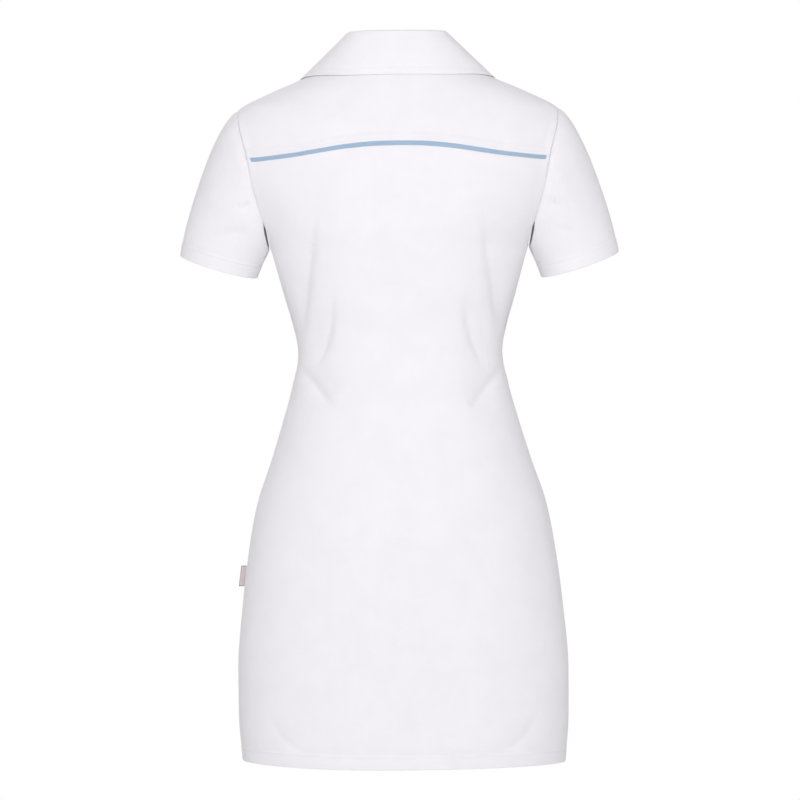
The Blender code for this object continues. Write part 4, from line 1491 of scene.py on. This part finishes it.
# %% [markdown]
# ## The placket
# The slit in the front is closed by two bands, one over the other, right over left as on
# women's wear. Each is a folded strip, sewn down along its long edges and across its foot.
# Each band is a grid of its own that follows the chest, because it is a piece of its own.

# %% Placket bands
PLACKET_LAP = 0.0025
PLACKET_TAIL = 0.012
PLACKET_EDGE_BACK = 0.0015
PLACKET_STITCHES = 2.2 * MM
SOLID_WALL = 1.6 * MM
BAND_ROWS = 90
BAND_COLUMNS = 26
BAND_GROOVE = 0.25 * MM
BAND_GROOVE_WIDTH = 0.9 * MM
BAND_EDGE_ROLL = 0.5 * MM
BAND_EDGE_WIDTH = 1.0 * MM


def placket_band(x_right, x_left, foot, out):
    """A band on the front, from its top just under the neckline to its foot."""
    neck_at_slit = neckline(math.pi - slit_turn)[2] - PLACKET_EDGE_BACK
    heights = np.linspace(neck_at_slit, foot, BAND_ROWS)[:, None]
    x = np.linspace(x_left, x_right, BAND_COLUMNS)[None, :]
    x, heights = np.broadcast_arrays(x, heights)
    points = body(heights, turn_at(x, heights, False)) - [0, SEAM_GAP / 2, 0]
    points = moved_out(points, out)
    near_edge = np.minimum(from_sides(points), from_foot(points))
    groove = BAND_GROOVE * bump(near_edge - PLACKET_STITCHES, BAND_GROOVE_WIDTH)
    return moved_out(points, -groove - BAND_EDGE_ROLL * bump(near_edge, BAND_EDGE_WIDTH))


outer_edge = PLACKET_HALF_WIDTH + PLACKET_LAP
upper_foot = PLACKET_FOOT - PLACKET_TAIL
under_foot = PLACKET_FOOT - PLACKET_LAP
upper_grid = placket_band(-outer_edge, PLACKET_HALF_WIDTH, upper_foot, SEAM_GAP + TRIM_WALL)
under_grid = placket_band(-PLACKET_HALF_WIDTH, outer_edge, under_foot, -SOLID_WALL - SEAM_GAP)
upper_band = add_cloth("placket_upper_band", "placket_upper", upper_grid, white_pique, wall=TRIM_WALL)
under_band = add_cloth("placket_under_band", "placket_under", under_grid, white_pique, wall=TRIM_WALL)

# %% [markdown]
# ## Buttons
# A polo's buttons are moulded from polyester resin: hard, glossy, a little cloudy, with a
# raised rim and four holes. The profile of rim and dish is turned round, the holes are cut
# through, and two stitches of thread cross in the middle. The clouds in the resin are about
# 4 mm wide, which is 260 to the metre.

# %% Button resin
CLOUD_SCALE = 260.0

white_resin, resin_tree, resin_shader = new_material(
    "moulded_polyester_resin", "#F1F0EC", Roughness=0.18, IOR=1.56, Coat_Weight=0.3, Coat_Roughness=0.1
)
cloud_place = add_node(resin_tree, "TexCoord").outputs["Object"]
cloud = add_node(resin_tree, "TexNoise", Vector=cloud_place, Scale=CLOUD_SCALE, Detail=2.0)
resin_tones = {"_6": linear("#F7F6F2"), "_7": linear("#E4E3DF")}
resin_tone = add_node(resin_tree, "Mix", {"data_type": "RGBA"}, Factor=cloud.outputs["Fac"], **resin_tones)
resin_tree.links.new(resin_tone.outputs[2], resin_shader.inputs["Base Color"])
print("the resin's roughness is", round(resin_shader.inputs["Roughness"].default_value, 2))

# %% [markdown]
# ## Turning the buttons
# A button of 11 mm has its profile written as shares of its radius and thickness, so that
# one short list gives the back, the rim and the dish. The Screw modifier could turn it too,
# but a function makes the drills for the holes as well.

# %% Turning and drilling
BUTTON_RADIUS = 5.6 * MM
BUTTON_THICKNESS = 2.2 * MM
BUTTON_STEPS = 64
BUTTON_OUTLINE = (
    (0.0, -0.50),
    (0.86, -0.50),
    (0.96, -0.32),
    (1.0, 0.0),
    (0.98, 0.28),
    (0.92, 0.46),
    (0.84, 0.50),
    (0.76, 0.44),
    (0.68, 0.22),
    (0.58, 0.12),
    (0.0, 0.10),
)


def turned(name, outline, steps):
    """A closed body turned from its outline of radius and height."""
    mesh = bpy.data.meshes.new(name)
    points = [(0, 0, outline[0][1])]
    rings = outline[1:-1]
    for radius, height in rings:
        for step in range(steps):
            angle = math.tau * step / steps
            points.append((radius * math.cos(angle), radius * math.sin(angle), height))
    points.append((0, 0, outline[-1][1]))
    faces = []
    for step in range(steps):
        after = (step + 1) % steps
        faces.append((0, 1 + after, 1 + step))
        for ring in range(len(rings) - 1):
            low = 1 + ring * steps
            faces.append((low + step, low + after, low + steps + after, low + steps + step))
        last = 1 + (len(rings) - 1) * steps
        faces.append((last + step, last + after, len(points) - 1))
    mesh.from_pydata(points, [], faces)
    mesh.materials.append(white_resin)
    return add_object(name, mesh)


def cut_through(piece, cutters):
    """Cuts the cutters out of a piece and applies the result."""
    for cutter in cutters:
        cut = piece.modifiers.new("hole", "BOOLEAN")
        cut.operation = "DIFFERENCE"
        cut.object = cutter
    graph = bpy.context.evaluated_depsgraph_get()
    result = bpy.data.meshes.new_from_object(piece.evaluated_get(graph))
    piece.modifiers.clear()
    piece.data = result
    for cutter in cutters:
        bpy.data.objects.remove(cutter, do_unlink=True)


print("a button measures", round(2 * BUTTON_RADIUS / MM, 1), "mm across")

# %% [markdown]
# ## The three buttons
# Each button is turned and drilled, and then laid on the upper band, square to the chest.

# %% The three buttons
BUTTON_HEIGHTS = (-0.062, -0.112, -0.162)
HOLE_RADIUS = 0.75 * MM
HOLE_OFFSET = 1.25 * MM
DRILL_STEPS = 20
SHARP_ANGLE = math.radians(40)

holes = [(x * HOLE_OFFSET, y * HOLE_OFFSET) for x, y in ((1, 1), (-1, 1), (-1, -1), (1, -1))]
button_out = SEAM_GAP + TRIM_WALL + SEAM_GAP + BUTTON_THICKNESS / 2
buttons = []
reach = BUTTON_THICKNESS
outline = [(r * BUTTON_RADIUS, z * BUTTON_THICKNESS) for r, z in BUTTON_OUTLINE]
drill_outline = [(0, -reach), (HOLE_RADIUS, -reach), (HOLE_RADIUS, reach), (0, reach)]
for number, height in enumerate(BUTTON_HEIGHTS, start=1):
    button = turned(f"resin_button_{number}", outline, BUTTON_STEPS)
    drills = []
    for x, y in holes:
        drill = turned("drill", drill_outline, DRILL_STEPS)
        drill.location = (x, y, 0)
        drills.append(drill)
    cut_through(button, drills)
    normal = body_normal(height, math.pi)
    button.location = body(height, math.pi) + normal * button_out - [0, SEAM_GAP / 2, 0]
    button.rotation_euler = (math.atan2(-normal[1], normal[2]), 0, 0)
    button.data.shade_smooth()
    button.data.set_sharp_from_angle(angle=SHARP_ANGLE)
    stands_for(button, f"button_{number}")
    buttons.append(button)
print("each of", len(buttons), "buttons has", len(holes), "holes")

# %% [markdown]
# ## Thread through the buttons
# Two stitches side by side cross from hole to hole, as a button machine sews them.

# %% Thread through the buttons
DISH_HEIGHT = 0.12 * BUTTON_THICKNESS
BUTTON_THREAD = 0.25 * MM

button_threads = []
for button in buttons:
    place = np.array(button.matrix_world)
    side, up, out = place[:3, :3].T
    for first, second, lean in ((0, 2, 1), (1, 3, -1)):
        start, end = [(place @ [*holes[hole], DISH_HEIGHT, 1])[:3] for hole in (first, second)]
        for shift in (-BUTTON_THREAD, BUTTON_THREAD):
            across = shift * (side * lean + up)
            button_threads.append((start + across, end + across, out))
add_thread("button_threads", button_threads, upper_band, BUTTON_THREAD)

# %% [markdown]
# ## Buttonholes
# Each buttonhole is upright in the upper band, 14 mm long: two rows of close satin stitches
# along the cut and a bar across each end. It stays closed under its button, so the band
# needs no slit, and the stitches alone show where it is.

# %% Buttonholes
BUTTONHOLE_LENGTH = 14 * MM
SATIN_GAP = 0.15 * MM
SATIN_WIDTH = 1.3 * MM
SATIN_PITCH = 0.55 * MM
SATIN_RADIUS = 0.2 * MM
BAR_HALF = 1.5 * MM
BAR_SHIFTS = (-0.4 * MM, 0.0, 0.4 * MM)


def on_upper_band(x, height):
    """A place on the outside of the upper band, and the direction out of it."""
    turn = turn_at(np.array(x), height, False)
    normal = body_normal(height, turn)
    return body(height, turn) + normal * (SEAM_GAP + TRIM_WALL) - [0, SEAM_GAP / 2, 0], normal


def satin_stitch(first_x, last_x, height):
    """One level stitch on the upper band, and the direction out of it."""
    start, out = on_upper_band(first_x, height)
    end, _ = on_upper_band(last_x, height)
    return start, end, out


satin = []
for height in BUTTON_HEIGHTS:
    foot = height - BUTTONHOLE_LENGTH / 2
    top = height + BUTTONHOLE_LENGTH / 2
    for level in np.arange(foot, top, SATIN_PITCH):
        satin += [satin_stitch(side * SATIN_GAP, side * SATIN_WIDTH, level) for side in (-1, 1)]
    for level in (foot, top):
        satin += [satin_stitch(-BAR_HALF, BAR_HALF, level + shift) for shift in BAR_SHIFTS]
add_thread("buttonholes", satin, upper_band, SATIN_RADIUS)

# %% [markdown]
# ## The label
# A small ribbon, woven in satin and folded in half, is caught in the left side seam. It is
# grey-pink with a darker border, and has the soft gloss of its long warp threads. They are
# 0.3 mm apart and drawn twice as wide. The border is worked out from the ribbon's grain, so
# that it needs no picture.

# %% Label ribbon
LABEL_TOP = -0.625
LABEL_FOOT = -0.651
LABEL_WIDTH = 6.8 * MM
LABEL_THICKNESS = 1.2 * MM
RIBBON = 0.35 * MM
LABEL_BORDER = 0.9 * MM
WARP = 0.6 * MM

woven_ribbon, ribbon_tree, ribbon_shader = new_material(
    "satin_woven_ribbon", "#C6BBBF", Roughness=0.5, IOR=1.5, Anisotropic=0.4, Sheen_Weight=0.15
)
ribbon_across, ribbon_along, _ = grain_of(ribbon_tree)
warp = wave(ribbon_tree, ribbon_along, WARP)
near_middle = add_node(ribbon_tree, "Math", {"operation": "ABSOLUTE"}, _0=ribbon_along).outputs[0]
plain_half = (LABEL_TOP - LABEL_FOOT) / 2 - LABEL_BORDER
border_top = add_node(ribbon_tree, "Math", {"operation": "GREATER_THAN"}, _0=near_middle, _1=plain_half)
near_fold = add_node(ribbon_tree, "Math", {"operation": "ABSOLUTE"}, _0=ribbon_across).outputs[0]
border_fold = add_node(ribbon_tree, "Math", {"operation": "LESS_THAN"}, _0=near_fold, _1=LABEL_BORDER)
either = {"_0": border_top.outputs[0], "_1": border_fold.outputs[0]}
border = add_node(ribbon_tree, "Math", {"operation": "MAXIMUM"}, **either).outputs[0]
ribbon_tones = {"_6": linear("#CFC4C8"), "_7": linear("#8E858A")}
ribbon_tone = add_node(ribbon_tree, "Mix", {"data_type": "RGBA"}, Factor=border, **ribbon_tones)
ribbon_tree.links.new(ribbon_tone.outputs[2], ribbon_shader.inputs["Base Color"])
ribbon_bump = add_node(ribbon_tree, "Bump", Height=warp, Distance=THREAD_RELIEF)
ribbon_tree.links.new(ribbon_bump.outputs[0], ribbon_shader.inputs["Normal"])
print("the ribbon is", round((LABEL_TOP - LABEL_FOOT) / MM), "mm wide")

# %% [markdown]
# ## Folding the label
# The ribbon leaves the seam, goes round a small half circle and comes back: one section,
# repeated at every height.

# %% The folded label
LABEL_ROWS = 27
LABEL_STEPS = 9

label_levels = np.linspace(LABEL_TOP, LABEL_FOOT, LABEL_ROWS)
reach_out = LABEL_WIDTH - (LABEL_THICKNESS - RIBBON) / 2
radius = LABEL_THICKNESS / 2
section = [(reach_out * t, radius) for t in np.linspace(0, 1, LABEL_STEPS)]
for angle in np.linspace(0, math.pi, LABEL_STEPS)[1:-1]:
    section.append((reach_out + radius * math.sin(angle), radius * math.cos(angle)))
section += [(reach_out * t, -radius) for t in np.linspace(1, 0, LABEL_STEPS)]
seam_x = ring_size(label_levels)[0] + SEAM_GAP
label_rows = [[(x + out, y, level) for out, y in section] for x, level in zip(seam_x, label_levels)]
label_grid = np.array(label_rows)
if normals(label_grid)[0, 0, 1] < 0:
    label_grid = label_grid[:, ::-1]
woven_label = add_cloth("folded_label", "label", label_grid, woven_ribbon, RIBBON)
for corner in woven_label.data.uv_layers[GRAIN].data:
    corner.uv[1] += (LABEL_TOP - LABEL_FOOT) / 2

# %% [markdown]
# ## Rows of stitches
# The thread shows as fine dashes: two rows round the hem and each cuff, one along the yoke,
# one along the collar's edge, and one round the upper placket band. A line at one distance
# from an edge is read off the grid, for a folded edge before it was folded.

# %% Rows of stitches
hem_stitches_back = add_stitches("hem_stitches_back", hem_line_back, back_cloth)
hem_stitches_front = add_stitches("hem_stitches_front", hem_line_front, front_cloth)
yoke_stitches = add_stitches("yoke_stitches", yoke_stitch_line, yoke_cloth)
cuff_left_stitches = add_stitches("cuff_left_stitches", cuff_left_lines, sleeve_left)
cuff_right_stitches = add_stitches("cuff_right_stitches", cuff_right_lines, sleeve_right)
collar_stitches = add_stitches("collar_stitches", [collar_line], collar_cloth)


def column_at(points, distance, from_left):
    """A line down a grid at this distance from one of its side edges, and its directions."""
    turned_grids = [grid.transpose(1, 0, 2) for grid in (points, normals(points))]
    if from_left:
        turned_grids = [grid[::-1] for grid in turned_grids]
    return line_above(*turned_grids, distance)


band_lines = [column_at(upper_grid, PLACKET_STITCHES, side) for side in (True, False)]
band_lines.append(row_at(upper_grid, PLACKET_STITCHES))
placket_stitches = add_stitches("placket_stitches", band_lines, upper_band)

# %% [markdown]
# ## The width of each cloth piece
# For each sheet, the length of its longest row is worked out from its grid, and then left
# unused.


def cut_from(points):
    """Works out the length of a grid's longest row, which is not kept."""
    width = lengths_across(points)[:, -1].max()


cut_from(back_grid)
cut_from(front_grid)
cut_from(yoke_grid)
cut_from(piping_grid)
cut_from(collar_grid)
cut_from(upper_grid)
cut_from(under_grid)
cut_from(label_grid)
for sleeve, stitches in ((sleeve_left, cuff_left_stitches), (sleeve_right, cuff_right_stitches)):
    cut_from(plain_sleeve)
